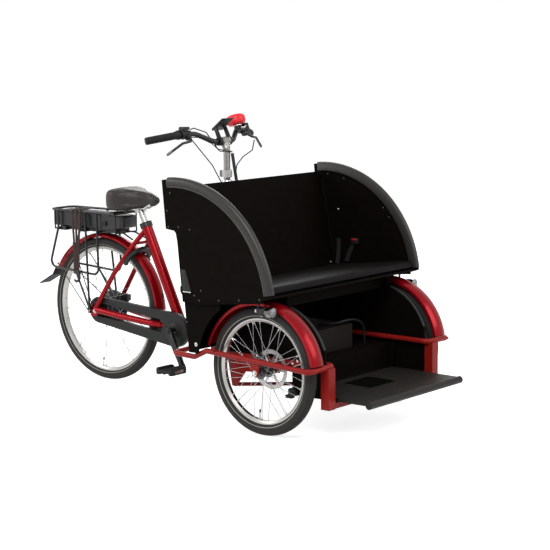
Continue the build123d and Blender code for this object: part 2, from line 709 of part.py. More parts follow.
def rear_wall():
    """Full width rear wall of the footwell below the backrest."""
    half = BAR_Y + BAR_D / 2 + 1 - PAD
    z0, z1 = BAR_REAR_Z - 6, under_board(SEAT_REAR_X) - 2
    outline = [(rear_x(z1) + 5, z1), (rear_x(z0) + 5, z0), (rear_x(z0) + 5 + REAR_WALL_T, z0),
               (rear_x(z1) + 5 + REAR_WALL_T, z1)]
    return slab(outline, -half, half)


put("rear_wall", rear_wall())


def backrest():
    """Backrest panel between the side panels, with its fold backwards at the top."""
    half = PANEL_Y - PANEL_T - PAD
    x_top, z_top = BACK_TOP
    outline = [(x_top, z_top), (SEAT_REAR_X + 2, SEAT_REAR_Z - 32), (SEAT_REAR_X - 10, SEAT_REAR_Z - 34),
               (x_top - BACK_T, z_top - 1)]
    panel = slab(outline, -half, half)
    for side in (-1, 1):
        y0, y1 = sorted((side * (TRIM_Y_IN - PAD), side * PANEL_Y))
        panel -= block(x_top - 60, x_top + 60, y0, y1, ARC_Z + ARC_R - TRIM_BAND - 8, z_top + 20)
    return panel


put("backrest", backrest())


def seat_board():
    """Bench board with its cross rail below."""
    half = PANEL_Y - PANEL_T - PAD
    x0, x1 = SEAT_REAR_X + 4, SEAT_FRONT_X
    top0, top1 = seat_line(x0) - CUSHION_T, seat_line(x1) - CUSHION_T
    board = slab([(x0, top0), (x1, top1), (x1, top1 - BOARD_T), (x0, top0 - BOARD_T)], -half, half)
    apron_x = WHEELBASE + 12
    z_top = seat_line(apron_x) - CUSHION_T - BOARD_T + 1
    board += block(apron_x, apron_x + 12, -WALL_Y + WALL_T + PAD, WALL_Y - WALL_T - PAD, z_top - 52, z_top)
    return board


put("seat_board", seat_board())


def seat_cushion():
    """Bench cushion with a rounded front edge."""
    half = TRIM_Y_IN - 2
    x0, x1 = SEAT_REAR_X + 8, SEAT_FRONT_X
    outline = [(x0, seat_line(x0)), (x1, seat_line(x1)), (x1, seat_line(x1) - CUSHION_T + PAD),
               (x0, seat_line(x0) - CUSHION_T + PAD)]
    pad = slab(outline, -half, half)
    front = pad.edges().filter_by(Axis.Y).sort_by(Axis.X)[-2:]
    return fillet(front, 16)


put("seat_cushion", seat_cushion())


def floor_pan():
    """Footwell floor with its riser down to the footboard."""
    half = WALL_Y - WALL_T - PAD
    front = WALL_STEP_X - 8
    floor = block(SEAT_REAR_X + 14, front, -half, half, FLOOR_Z - FLOOR_T, FLOOR_Z)
    floor += block(front - FLOOR_T, front, -half + 14, half - 14, WALL_LOW - 3, FLOOR_Z)
    return floor


put("floor_pan", floor_pan())


def locker():
    """Storage box under the bench on the right side."""
    half = INNER_Y - BAR_D / 2 - 2
    return block(WHEELBASE - 244, WHEELBASE + 16, -half, 140, FLOOR_Z + PAD, FLOOR_Z + 100)


put("locker", locker())


TRAY_Y, TRAY_L, TRAY_W = -70, 148, 142


def footboard():
    """Footboard plate with a rolled front edge, side flanges and a sunk hand slot."""
    x0, half = WALL_STEP_X + 2, 312.0
    z = ROLL_Z
    plate = slab([(x0, z + 14), (ROLL_X, z + 11), (ROLL_X, z + 5), (x0, z + 8)], -half, half)
    plate += cross_disc(ROLL_X, ROLL_Z, ROLL_D / 2, -half, half)
    tray_x, wall = ROLL_X - 302, 6
    plate += block(tray_x, tray_x + TRAY_L, TRAY_Y, TRAY_Y + TRAY_W, z - 4, z + 10)
    plate -= block(tray_x + wall, tray_x + TRAY_L - wall, TRAY_Y + wall, TRAY_Y + TRAY_W - wall, z, z + 43)
    for side in (-1, 1):
        y0, y1 = sorted((side * (half - 4), side * half))
        plate += slab([(x0, z + 14), (ROLL_X, z + 8), (ROLL_X, z - 2), (x0, z - 5)], y0, y1)
    return plate


put("footboard", footboard())


# Front frame


def bar_z(x):
    return BAR_REAR_Z + (BAR_FRONT_Z - BAR_REAR_Z) * (x - BAR_REAR_X) / (BAR_FRONT_X - BAR_REAR_X)


REAR_RAIL_X, REAR_RAIL_Z = HEAD_X + 73.0, FRONT_R + 39.0
SIDE_RAIL_X = REAR_RAIL_X + 115.0
FOOT_RAIL_X, FOOT_RAIL_Z, FOOT_RAIL_D = WHEELBASE + 16.0, FRONT_R - 107.0, 16.0


def wheel_loop(side):
    """Tube loop round one wheel with its axle tab, post and rear brace."""
    y = side * BAR_Y
    inner = side * INNER_Y
    path = [
        (SIDE_RAIL_X, inner, REAR_RAIL_Z + 1), (BAR_FRONT_X, inner, BAR_FRONT_Z + 4),
        (BAR_FRONT_X, y, BAR_FRONT_Z), (BAR_REAR_X, y, BAR_REAR_Z), (SIDE_RAIL_X + 35, y, REAR_RAIL_Z - 10),
        (REAR_RAIL_X + 35, y, REAR_RAIL_Z - 6), (REAR_RAIL_X, 0, REAR_RAIL_Z),
    ]
    loop = tube(path, BAR_D, 24)
    tab_x = WHEELBASE
    y0, y1 = sorted((side * (BAR_Y - 4), side * (BAR_Y + 3)))
    z_top = bar_z(tab_x)
    loop += slab([(tab_x - 24, z_top), (tab_x + 24, z_top), (tab_x + 13, FRONT_R - 12),
                  (tab_x - 13, FRONT_R - 12)], y0, y1)
    post_y0, post_y1 = sorted((side * (POST_Y - POST_SIZE / 2), side * (POST_Y + POST_SIZE / 2)))
    loop += block(POST_X - POST_SIZE / 2, POST_X + POST_SIZE / 2, post_y0, post_y1, POST_LOW, BAR_FRONT_Z)
    plate_in, plate_out = WALL_Y + 1.5, WALL_Y + 7.5
    y0, y1 = sorted((side * plate_in, side * plate_out))
    outline = [(-254, 43), (196, 43), (196, 27), (30, 23), (22, -17), (-26, -23), (-154, -31), (-206, -99),
               (-226, -97)]
    loop += slab([(WHEELBASE + x, FRONT_R + z) for x, z in outline], y0, y1)
    loop += cross_disc(WHEELBASE, FRONT_R, 13, side * plate_out, side * (plate_out + 10))
    y0, y1 = sorted((inner, side * plate_out))
    for x in STUDS_X:
        loop += cross_disc(x, STUD_Z, 6, y0, y1)
    foot = (FOOT_RAIL_X, side * 60, FOOT_RAIL_Z)
    loop += rod((WHEELBASE - 216, side * (plate_in + 3), FRONT_R - 91), foot, FOOT_RAIL_D)
    return loop


def front_frame():
    """Both wheel loops, the foot rails and the lower steering lug."""
    frame = wheel_loop(-1) + wheel_loop(1)
    frame += block(POST_X - 14, POST_X + 14, -POST_Y, POST_Y, POST_LOW, POST_LOW + 22)
    frame += rod((FOOT_RAIL_X, -62, FOOT_RAIL_Z), (FOOT_RAIL_X, 62, FOOT_RAIL_Z), FOOT_RAIL_D)
    frame += rod((FOOT_RAIL_X, 0, FOOT_RAIL_Z), (POST_X, 0, POST_LOW + 11), FOOT_RAIL_D)
    frame += rod((HEAD_X, 0, REAR_RAIL_Z - 18), (HEAD_X, 0, HEAD_TUBE_LOW - 8), STEERER_D + 14)
    frame += rod((HEAD_X, 0, REAR_RAIL_Z), (REAR_RAIL_X + 15, 0, REAR_RAIL_Z), 30)
    for side in (-1, 1):
        corner = (SIDE_RAIL_X + 10, side * INNER_Y, REAR_RAIL_Z + 1)
        frame += rod((REAR_RAIL_X, side * 30, REAR_RAIL_Z), corner, BAR_D)
    axles = cross_disc(WHEELBASE, FRONT_R, FRONT_AXLE_R + RUN, -BAR_Y - 20, BAR_Y + 20)
    return frame - axles


put("front_frame", front_frame())


def front_fender():
    """Red sheet fender over the upper half of the wheel."""
    shell = mudguard_shell((WHEELBASE, FRONT_R), FENDER_R, FENDER_W, FENDER_CROWN, FENDER_LIP, FENDER_T,
                           FENDER_FRONT, FENDER_REAR)
    return Pos(0, -HALF_TRACK, 0) * shell


both("front_fender", front_fender)


LAMP_X, LAMP_Y, LAMP_Z = WHEELBASE + 58.0, 469.0, FRONT_R + 240.0


def headlight():
    """Small lamp under the bench's front corner on its bracket."""
    y = -LAMP_Y
    lamp = rod((LAMP_X, y, LAMP_Z), (LAMP_X + 26, y, LAMP_Z), 30)
    lamp += block(LAMP_X - 42, LAMP_X + 4, y - 7, y + 7, LAMP_Z + 5, LAMP_Z + 13)
    lamp += rod((LAMP_X - 36, y, LAMP_Z + 9), (LAMP_X - 36, y, under_board(LAMP_X - 40)), 9)
    return lamp


both("headlight", headlight)


def clamp_spot(forward, y, above):
    """Point measured from the middle of the handlebar's clamp."""
    return (CLAMP[0] + forward, y, CLAMP[2] + above)


BAR_PATH = [CLAMP, clamp_spot(-4, 62, 1), clamp_spot(-46, 130, 35), clamp_spot(-52, 190, 39),
            clamp_spot(-88, 322, 8)]


def bar_tube(diameter):
    """The whole bar, swept back and raised from the clamp to the grips."""
    left = tube(BAR_PATH, diameter, 40)
    return left + mirror(left, about=Plane.XZ)


BAR_ROOM = bar_tube(BAR_TUBE_D + 2 * PAD)


def steering_column():
    """Steerer in the head tube, upper lug to the backrest and silver stem."""
    column = rod((HEAD_X, 0, HEAD_TUBE_LOW - 8), (HEAD_X, 0, CLAMP[2] - 22), STEERER_D)
    column += rod((HEAD_X, 0, HEAD_TUBE_HIGH + 6), (HEAD_X, 0, HEAD_TUBE_HIGH + 36), 46)
    column += rod((HEAD_X, 0, HEAD_TUBE_HIGH + 60), (HEAD_X, 0, HEAD_TUBE_HIGH + 91), 40)
    column += block(HEAD_X, BACK_TOP[0] - 8, -18, 18, HEAD_TUBE_HIGH + 10, HEAD_TUBE_HIGH + 30)
    column += rod((HEAD_X, 0, CLAMP[2] - 32), CLAMP, 34)
    column += cross_disc(CLAMP[0], CLAMP[2], 19, -24, 24)
    return column - BAR_ROOM - backrest()


put("steering_column", steering_column())
put("handlebar", bar_tube(BAR_TUBE_D))


def grip():
    """Rubber grip on the bar's end."""
    out = Vector(BAR_PATH[-1][0], -BAR_PATH[-1][1], BAR_PATH[-1][2])
    run = Vector(BAR_PATH[-2][0], -BAR_PATH[-2][1], BAR_PATH[-2][2]) - out
    inner = out + run.normalized() * (GRIP_L - 10)
    end = out - run.normalized() * 4
    return rod(tuple(end), tuple(inner), GRIP_D) - BAR_ROOM


both("grip", grip)


def brake_lever():
    """Lever in its clamp on the bar, with the shifter housing beside it."""
    clamp_body = rod(clamp_spot(-52, -194, 38), clamp_spot(-56, -164, 39), 36)
    blade = tube([clamp_spot(-38, -178, 32), clamp_spot(-12, -190, 10), clamp_spot(-22, -235, 2),
                  clamp_spot(-48, -300, -42)], 11, 12)
    return clamp_body + blade - BAR_ROOM


both("brake_lever", brake_lever)


def display_unit():
    """Display plate on its two arms above the clamp."""
    outline = [(-73, 40), (34, 98), (40, 88), (-64, 30)]
    plate = slab([(CLAMP[0] + x, CLAMP[2] + z) for x, z in outline], -42, 42)
    arm = [(-20, -12), (20, -12), (22, 88), (-38, 54)]
    for side in (-1, 1):
        y0, y1 = sorted((side * 26, side * 34))
        plate += slab([(CLAMP[0] + x, CLAMP[2] + z) for x, z in arm], y0, y1)
    return plate - BAR_ROOM


put("display_unit", display_unit())

BELL = clamp_spot(-44, 128, 82)


def bell():
    """Large round bell on the left part of the bar."""
    dome = Pos(*BELL) * Rot(0, -20, 0) * fillet(Cylinder(42, 44).edges(), 16)
    return dome + rod((BELL[0], BELL[1], BELL[2] - 50), (BELL[0], BELL[1], BELL[2] - 15), 15) - BAR_ROOM


put("bell", bell())


CABLE_D = 5.0
SLEEVE_D = 14.0


def control_cables():
    """Brake and shift cables, gathered in a sleeve that runs down behind the backrest."""
    right_brake = [(-46, -162, 20), (-24, -150, -10), (57, -140, -92), (106, -136, -168),
                   (133, -130, -212)]
    left_brake = [(-4, 202, -6), (10, 172, -48), (18, 100, -72), (32, 44, -102), (38, 30, -128)]
    shift = [(-64, -163, 48), (-54, -132, 60), (-34, -76, 40), (-26, -52, 8), (-2, -38, -32), (34, -12, -42),
             (35, 2, -46)]
    power = [(-38, -163, 23), (-30, -126, 21), (-2, -78, -6), (-4, -54, -20), (10, -38, -42), (42, -4, -40),
             (40, 5, -44)]
    sleeve = [(36, 10, -50), (42, 28, -168), (78, 34, -218), (136, 36, -233)]
    runs = [(right_brake, CABLE_D, 40), (left_brake, CABLE_D, 12), (shift, CABLE_D, 10),
            (power, CABLE_D - 1, 9), (sleeve, SLEEVE_D, 30)]
    cables = []
    for points, diameter, bend in runs:
        cables.append(tube([clamp_spot(*point) for point in points], diameter, bend))
    return Compound(children=cables)


put("control_cables", control_cables())


if __name__ == "__main__":
    os.makedirs("parts", exist_ok=True)
    for name, shape in parts.items():
        export_step(shape, "parts/" + name + ".step")
    print(len(parts), "pieces; middle of the length at x =", MID_X)
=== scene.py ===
import bmesh
import bpy
from math import atan2, cos, degrees, pi, radians, sin
from mathutils import Matrix, Vector


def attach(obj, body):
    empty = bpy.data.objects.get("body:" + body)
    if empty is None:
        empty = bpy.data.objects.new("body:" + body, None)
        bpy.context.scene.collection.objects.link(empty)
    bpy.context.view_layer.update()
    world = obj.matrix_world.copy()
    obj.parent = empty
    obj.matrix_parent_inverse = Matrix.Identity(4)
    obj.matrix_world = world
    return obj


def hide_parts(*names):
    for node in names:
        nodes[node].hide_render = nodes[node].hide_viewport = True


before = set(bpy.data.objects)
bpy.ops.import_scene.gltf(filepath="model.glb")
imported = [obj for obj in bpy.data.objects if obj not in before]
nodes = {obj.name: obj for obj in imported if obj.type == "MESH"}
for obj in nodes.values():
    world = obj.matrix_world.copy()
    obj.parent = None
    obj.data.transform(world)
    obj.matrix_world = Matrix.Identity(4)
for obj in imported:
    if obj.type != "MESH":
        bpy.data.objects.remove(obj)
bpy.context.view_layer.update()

# Camera and studio
# A long lens looks down a little at the front right corner of the vehicle. The floor is a
# pale sheet under soft lamps, and the background is the same pale tone behind it.
CAMERA_AT = Vector((4.7959, -5.3424, 1.5667))
CAMERA_TURN, CAMERA_PITCH, CAMERA_ROLL = radians(39.80), radians(8.19), radians(-0.62)
back = Vector((sin(CAMERA_TURN) * cos(CAMERA_PITCH), -cos(CAMERA_TURN) * cos(CAMERA_PITCH),
               sin(CAMERA_PITCH)))
right = Vector((cos(CAMERA_TURN), sin(CAMERA_TURN), 0.0))
up = back.cross(right)
rolled_right = right * cos(CAMERA_ROLL) + up * sin(CAMERA_ROLL)
rolled_up = up * cos(CAMERA_ROLL) - right * sin(CAMERA_ROLL)
turn = Matrix((rolled_right, rolled_up, back)).transposed().to_4x4()
bpy.ops.object.camera_add()
camera = bpy.context.object
camera.name = "camera"
camera.matrix_world = Matrix.Translation(CAMERA_AT) @ turn
camera.data.sensor_width = 36.0
camera.data.lens = 109.68
camera.data.clip_end = 60.0
bpy.context.scene.camera = camera
bpy.context.scene.view_settings.view_transform = "Standard"

world = bpy.data.worlds.new("studio")
bpy.context.scene.world = world
world.use_nodes = True
sky = world.node_tree
sky.nodes.clear()
sky_out = sky.nodes.new("ShaderNodeOutputWorld")
sky_light = sky.nodes.new("ShaderNodeBackground")
sky_light.inputs["Color"].default_value = (0.93, 0.95, 1.0, 1.0)
sky_light.inputs["Strength"].default_value = 0.3
sky_seen = sky.nodes.new("ShaderNodeBackground")
sky_seen.inputs["Color"].default_value = (1.0, 1.0, 1.0, 1.0)
sky_seen.inputs["Strength"].default_value = 1.0
sky_path = sky.nodes.new("ShaderNodeLightPath")
sky_glossy = sky.nodes.new("ShaderNodeMath")
sky_glossy.operation = "ADD"
sky_any = sky.nodes.new("ShaderNodeMath")
sky_any.operation = "ADD"
sky_any.use_clamp = True
sky_mix = sky.nodes.new("ShaderNodeMixShader")
for given, taken in (
    (sky_path.outputs["Is Camera Ray"], sky_glossy.inputs[0]),
    (sky_path.outputs["Is Glossy Ray"], sky_glossy.inputs[1]),
    (sky_glossy.outputs[0], sky_any.inputs[0]),
    (sky_path.outputs["Is Transmission Ray"], sky_any.inputs[1]),
    (sky_any.outputs[0], sky_mix.inputs[0]),
    (sky_light.outputs[0], sky_mix.inputs[1]),
    (sky_seen.outputs[0], sky_mix.inputs[2]),
    (sky_mix.outputs[0], sky_out.inputs[0]),
):
    sky.links.new(given, taken)


def lamp(name, place, target, size, power):
    """Soft square lamp that faces a point."""
    bpy.ops.object.light_add(type="AREA", location=place)
    light = bpy.context.object
    light.name = name
    light.data.size = size
    light.data.energy = power
    light.rotation_mode = "QUATERNION"
    light.rotation_quaternion = (Vector(target) - Vector(place)).to_track_quat("-Z", "Y")


lamp("key_lamp", (2.2, -3.4, 4.2), (0.0, 0.0, 0.5), 2.6, 190.0)
lamp("side_lamp", (-3.6, -3.2, 2.6), (-0.3, 0.0, 0.5), 2.2, 95.0)
lamp("front_lamp", (4.2, 1.6, 2.8), (0.5, 0.0, 0.5), 2.4, 80.0)
lamp("rear_lamp", (-2.4, 3.6, 3.4), (0.0, 0.0, 0.6), 2.4, 80.0)

bpy.ops.mesh.primitive_plane_add(size=30.0, location=(0.0, 0.0, 0.0))
floor = bpy.context.object
floor.name = "studio_floor"


class Tone:
    """A value that changes over a surface; adding or multiplying tones adds Math nodes."""

    def __init__(self, finish, socket):
        self.finish = finish
        self.socket = socket

    def reckon(self, operation, first, second):
        return self.finish.node("Math", {"operation": operation}, {0: first, 1: second})

    def __add__(self, other):
        return self.reckon("ADD", self, other)

    def __radd__(self, other):
        return self.reckon("ADD", other, self)

    def __mul__(self, other):
        return self.reckon("MULTIPLY", self, other)

    def __rmul__(self, other):
        return self.reckon("MULTIPLY", other, self)


class Finish:
    """One material: a Principled surface and the nodes that vary it."""

    def __init__(self, name, colour, roughness, metallic=0.0, **fixed):
        self.material = bpy.data.materials.new(name)
        self.material.use_nodes = True
        self.tree = self.material.node_tree
        self.tree.nodes.clear()
        self.output = self.tree.nodes.new("ShaderNodeOutputMaterial")
        self.surface = self.tree.nodes.new("ShaderNodeBsdfPrincipled")
        self.tree.links.new(self.surface.outputs[0], self.output.inputs[0])
        self.set("Base Color", (*colour, 1.0))
        self.set("Roughness", roughness)
        self.set("Metallic", metallic)
        for socket, value in fixed.items():
            self.set(socket.replace("_", " "), value)
        self.place = self.node("TexCoord", {}, {}, "Object")

    def set(self, socket, value):
        """Give the surface a constant or a tone."""
        if isinstance(value, Tone):
            self.tree.links.new(value.socket, self.surface.inputs[socket])
        else:
            self.surface.inputs[socket].default_value = value

    def node(self, kind, settings, sockets, output=0):
        """Add one node: its settings first, then its sockets' values or links."""
        made = self.tree.nodes.new("ShaderNode" + kind)
        for name, value in settings.items():
            setattr(made, name, value)
        for name, value in sockets.items():
            if isinstance(value, Tone):
                self.tree.links.new(value.socket, made.inputs[name])
            else:
                made.inputs[name].default_value = value
        return Tone(self, made.outputs[output])

    def noise(self, scale, detail, stretch=(1.0, 1.0, 1.0)):
        """Cloudy noise in object space, stretched by axis."""
        spot = self.node("Mapping", {}, {"Vector": self.place, "Scale": stretch})
        return self.node("TexNoise", {}, {"Vector": spot, "Scale": scale, "Detail": detail, "Roughness": 0.5})

    def blend(self, factor, first, second):
        """Mix two colours by a tone."""
        made = self.tree.nodes.new("ShaderNodeMix")
        made.data_type = "RGBA"
        self.tree.links.new(factor.socket, made.inputs[0])
        made.inputs[6].default_value = (*first, 1.0)
        made.inputs[7].default_value = (*second, 1.0)
        return Tone(self, made.outputs[2])

    def bump(self, height, strength, distance):
        """Raise the surface by a tone."""
        relief = self.node("Bump", {}, {"Height": height, "Strength": strength, "Distance": distance})
        self.set("Normal", relief)

    def mottle(self, dark, pale, *cloud):
        """Shade the colour from dark to pale in clouds of noise."""
        self.set("Base Color", self.blend(self.noise(*cloud), dark, pale))

    def sheen(self, least, spread, *cloud):
        """Let the roughness wander from its least value over a spread."""
        self.set("Roughness", least + spread * self.noise(*cloud))

    def grain(self, scale, detail, strength, distance):
        """Raise the surface in fine noise."""
        self.bump(self.noise(scale, detail), strength, distance)

    def coat(self, *names):
        """Put this finish on CAD nodes."""
        for name in names:
            piece = nodes[name]
            piece.data.materials.clear()
            piece.data.materials.append(self.material)


floor_sheet = Finish("floor_sheet", (0.80, 0.80, 0.80), 0.95, Specular_IOR_Level=0.0, Emission_Strength=0.8)
to_camera = floor_sheet.node("LightPath", {}, {}, "Is Camera Ray")
to_gloss = floor_sheet.node("LightPath", {}, {}, "Is Glossy Ray")
floor_sheet.set("Emission Color", floor_sheet.blend(to_camera + to_gloss, (0.0, 0.0, 0.0), (1.0, 1.0, 1.0)))
floor.data.materials.append(floor_sheet.material)

# Wheels
# Grey road tyres on box section alloy rims, laced with crossed steel spokes to dark hubs. Tread
# blocks stand on the crown of each tyre and a pale reflecting ring runs round each sidewall.
REAR_AXLE, REAR_R, REAR_TYRE_W = Vector((-0.6565, 0.0, 0.328)), 0.328, 0.047
FRONT_AXLE, FRONT_R, FRONT_TYRE_W = Vector((0.6275, 0.0, 0.257)), 0.257, 0.052
HALF_TRACK = 0.413
ACROSS = Vector((0.0, 1.0, 0.0))
TREAD_H = 0.0012
CROWN_LEAN, RING_LEAN_LOW, RING_LEAN_HIGH = 60.0, 105.0, 120.0
RIM_DEPTH = 0.019
RIM_SINK = 0.0114
NIPPLE_GROUPS = 9
VALVE_AT = -98.0

tyre_rubber = Finish("tyre_rubber", (0.024, 0.022, 0.021), 0.72, Specular_IOR_Level=0.25)
tyre_rubber.mottle((0.013, 0.0115, 0.0105), (0.022, 0.0195, 0.018), 9.0, 4.0)
tyre_rubber.sheen(0.62, 0.2, 80.0, 3.0)
tyre_rubber.grain(420.0, 2.0, 0.25, 0.0006)

reflex_ring = Finish("reflex_ring", (0.24, 0.235, 0.22), 0.34)
reflex_ring.sheen(0.28, 0.2, 200.0, 2.0)
reflex_ring.grain(600.0, 1.0, 0.3, 0.0003)

rim_alloy = Finish("rim_alloy", (0.38, 0.37, 0.35), 0.3, 1.0)
rim_alloy.sheen(0.22, 0.2, 60.0, 5.0, (1.0, 8.0, 1.0))
rim_alloy.coat("rear_wheel_rim", "front_wheel_right_rim", "front_wheel_left_rim")

spoke_steel = Finish("spoke_steel", (0.34, 0.34, 0.34), 0.28, 1.0)
spoke_steel.sheen(0.18, 0.16, 90.0, 2.0)
spoke_steel.coat("rear_wheel_spokes", "front_wheel_right_spokes", "front_wheel_left_spokes")

hub_alloy = Finish("hub_alloy", (0.07, 0.07, 0.075), 0.38, 0.85)
hub_alloy.sheen(0.3, 0.2, 70.0, 3.0)
hub_alloy.coat("rear_wheel_hub", "front_wheel_right_hub", "front_wheel_left_hub")

bolt_steel = Finish("bolt_steel", (0.52, 0.52, 0.51), 0.3, 1.0)
bolt_steel.sheen(0.2, 0.25, 240.0, 2.0)


def only(piece):
    """Make one object the active and only selected one."""
    bpy.ops.object.select_all(action="DESELECT")
    piece.select_set(True)
    bpy.context.view_layer.objects.active = piece


def edit(piece, kind="FACE", whole=False):
    """Open a piece in edit mode with the whole of it selected, or nothing."""
    only(piece)
    bpy.ops.object.mode_set(mode="EDIT")
    bpy.ops.mesh.select_mode(type=kind)
    bpy.ops.mesh.select_all(action="SELECT" if whole else "DESELECT")


def leave():
    """Go back to object mode."""
    bpy.ops.object.mode_set(mode="OBJECT")


def pick_faces(piece, wanted):
    """Select the faces whose middle and normal pass a test."""
    cage = bmesh.from_edit_mesh(piece.data)
    for face in cage.faces:
        face.select_set(wanted(face.calc_center_median(), face.normal))
    bmesh.update_edit_mesh(piece.data)


def inset_where(piece, wanted, **amounts):
    """Inset the faces of a piece that pass a test."""
    edit(piece)
    pick_faces(piece, wanted)
    bpy.ops.mesh.inset(**amounts)
    leave()


def fit(piece, name, body, smooth=32.0):
    """Name a finished piece, smooth it up to an angle and let it ride on a body."""
    only(piece)
    piece.name = name
    piece.data.name = name
    bpy.ops.object.shade_smooth_by_angle(angle=radians(smooth))
    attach(piece, body)
    return piece


def paint(piece, *finishes):
    """Give a new piece its finishes, the first one on all its faces."""
    piece.data.materials.clear()
    for finish in finishes:
        piece.data.materials.append(finish.material)
    return piece


def join(pieces):
    """Make one piece of several."""
    bpy.ops.object.select_all(action="DESELECT")
    for piece in pieces:
        piece.select_set(True)
    bpy.context.view_layer.objects.active = pieces[0]
    bpy.ops.object.join()
    return pieces[0]


def road_tyre(name, axle, radius, width):
    """Round carcass with raised blocks over its crown and a pale ring on each sidewall."""
    middle = radius - width / 2

    def lean(spot):
        outward = Vector((spot.x - axle.x, spot.z - axle.z)).length - middle
        return degrees(atan2(abs(spot.y - axle.y), outward))

    bpy.ops.object.select_all(action="DESELECT")
    bpy.ops.mesh.primitive_torus_add(location=axle, rotation=(pi / 2, 0.0, 0.0), major_segments=108,
                                     minor_segments=24, major_radius=middle, minor_radius=width / 2 - TREAD_H)
    tyre = bpy.context.object
    bpy.ops.object.transform_apply()
    paint(tyre, tyre_rubber, reflex_ring)
    edit(tyre)
    pick_faces(tyre, lambda spot, normal: lean(spot) < CROWN_LEAN)
    bpy.ops.mesh.inset(use_individual=True, thickness=0.0011, depth=TREAD_H)
    pick_faces(tyre, lambda spot, normal: RING_LEAN_LOW < lean(spot) < RING_LEAN_HIGH)
    bpy.ops.mesh.inset(thickness=0.0018)
    tyre.active_material_index = 1
    bpy.ops.object.material_slot_assign()
    leave()
    fit(tyre, name + "_tread", name)
    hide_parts(name + "_tyre")


def rod(start, end, radius, end_radius=None, sides=20):
    """Round or tapered bar between two points, its place in its mesh."""
    start, end = Vector(start), Vector(end)
    run = end - start
    bpy.ops.object.select_all(action="DESELECT")
    bpy.ops.mesh.primitive_cone_add(vertices=sides, radius1=radius, radius2=end_radius or radius,
                                    depth=run.length, location=(start + end) / 2,
                                    rotation=run.to_track_quat("Z", "Y").to_euler())
    bpy.ops.object.transform_apply()
    return bpy.context.object


def around(piece, copies, centre):
    """Repeat a piece round an axle, evenly over the full turn."""
    edit(piece, whole=True)
    bpy.ops.mesh.spin(steps=copies - 1, dupli=True, angle=2 * pi * (copies - 1) / copies, center=centre,
                      axis=ACROSS)
    leave()
    return piece


def spoke_nipples(name, axle, rim_r, flange_r, flange_y):
    """Brass nipples where the spokes enter the rim."""
    group = []
    for side in (-1, 1):
        for lead in (-1, 1):
            hub_turn = pi / 18 if side > 0 else 0.0
            rim_turn = hub_turn + lead * 0.92 * pi / 3
            start = Vector((flange_r * cos(hub_turn + lead * 0.1), side * flange_y + lead * 0.0026,
                            flange_r * sin(hub_turn + lead * 0.1)))
            end = Vector((rim_r * cos(rim_turn), side * 0.003 + lead * 0.0013, rim_r * sin(rim_turn)))
            along = (end - start).normalized()
            group.append(rod(axle + end - along * 0.011, axle + end + along * 0.001, 0.0016, 0.0023, 6))
    nipples = around(join(group), NIPPLE_GROUPS, axle)
    paint(nipples, bolt_steel)
    fit(nipples, name + "_nipples", name)


def heading(angle):
    """Direction in the plane of a wheel, in degrees up from straight ahead."""
    return Vector((cos(radians(angle)), 0.0, sin(radians(angle))))


def tyre_valve(name, axle, rim_inner):
    """Valve stem with its knurled cap, between two spokes."""
    out = heading(VALVE_AT)
    stem = rod(axle + out * (rim_inner - 0.030), axle + out * (rim_inner + 0.002), 0.0026, 0.0030, 12)
    cap = rod(axle + out * (rim_inner - 0.040), axle + out * (rim_inner - 0.028), 0.0030, 0.0038, 12)
    inset_where(cap, lambda spot, normal: abs(normal.dot(out)) < 0.3, use_individual=True, thickness=0.0004,
                depth=-0.0003)
    paint(stem, bolt_steel)
    paint(cap, tyre_rubber)
    fit(join([stem, cap]), name + "_valve", name)


RIGHT_AXLE, LEFT_AXLE = FRONT_AXLE - ACROSS * HALF_TRACK, FRONT_AXLE + ACROSS * HALF_TRACK
for wheel_name, axle, radius, width, flange_r, flange_y in (
    ("rear_wheel", REAR_AXLE, REAR_R, REAR_TYRE_W, 0.0474, 0.023),
    ("front_wheel_right", RIGHT_AXLE, FRONT_R, FRONT_TYRE_W, 0.0304, 0.024),
    ("front_wheel_left", LEFT_AXLE, FRONT_R, FRONT_TYRE_W, 0.0304, 0.024),
):
    road_tyre(wheel_name, axle, radius, width)
    rim_inner = radius - width + RIM_SINK - RIM_DEPTH
    spoke_nipples(wheel_name, axle, rim_inner - 0.0008, flange_r, flange_y)
    tyre_valve(wheel_name, axle, rim_inner)

# Front brakes
# Drilled steel discs on the inboard side of the front hubs. A black caliper with two silver
# bolts straddles each disc and is screwed to the inner axle plate of the frame.
DISC_Y = 0.368
CALIPER_AT = 150.0
disc_steel = Finish("disc_steel", (0.40, 0.39, 0.38), 0.32, 1.0)
disc_steel.sheen(0.24, 0.22, 150.0, 3.0)
disc_steel.coat("front_wheel_right_disc", "front_wheel_left_disc")

black_lacquer = Finish("black_lacquer", (0.006, 0.006, 0.006), 0.36, 0.0, Specular_IOR_Level=0.35)
black_lacquer.sheen(0.28, 0.2, 80.0, 3.0)
black_lacquer.grain(320.0, 2.0, 0.12, 0.0004)


def pull(move):
    """Extrude what is selected by a vector."""
    bpy.ops.mesh.extrude_region_move(TRANSFORM_OT_translate={"value": Vector(move)})


def seal():
    """Merge doubles, turn the faces outwards and leave edit mode."""
    bpy.ops.mesh.select_all(action="SELECT")
    bpy.ops.mesh.remove_doubles(threshold=0.00002)
    bpy.ops.mesh.normals_make_consistent(inside=False)
    leave()


def chain(points):
    """Wire of straight runs, drawn by vertex extrusions and left open in edit mode."""
    bpy.ops.object.select_all(action="DESELECT")
    bpy.ops.mesh.primitive_plane_add(size=0.001, location=points[0])
    piece = bpy.context.object
    bpy.ops.object.transform_apply()
    edit(piece, "VERT", whole=True)
    bpy.ops.mesh.merge(type="CENTER")
    for last, point in zip(points, points[1:]):
        pull(Vector(point) - Vector(last))
    bpy.ops.mesh.select_all(action="SELECT")
    return piece


def cut_plate(points, depth):
    """Plate cut to an outline, with its thickness given as a vector."""
    piece = chain(points)
    bpy.ops.mesh.edge_face_add()
    pull(depth)
    seal()
    return piece


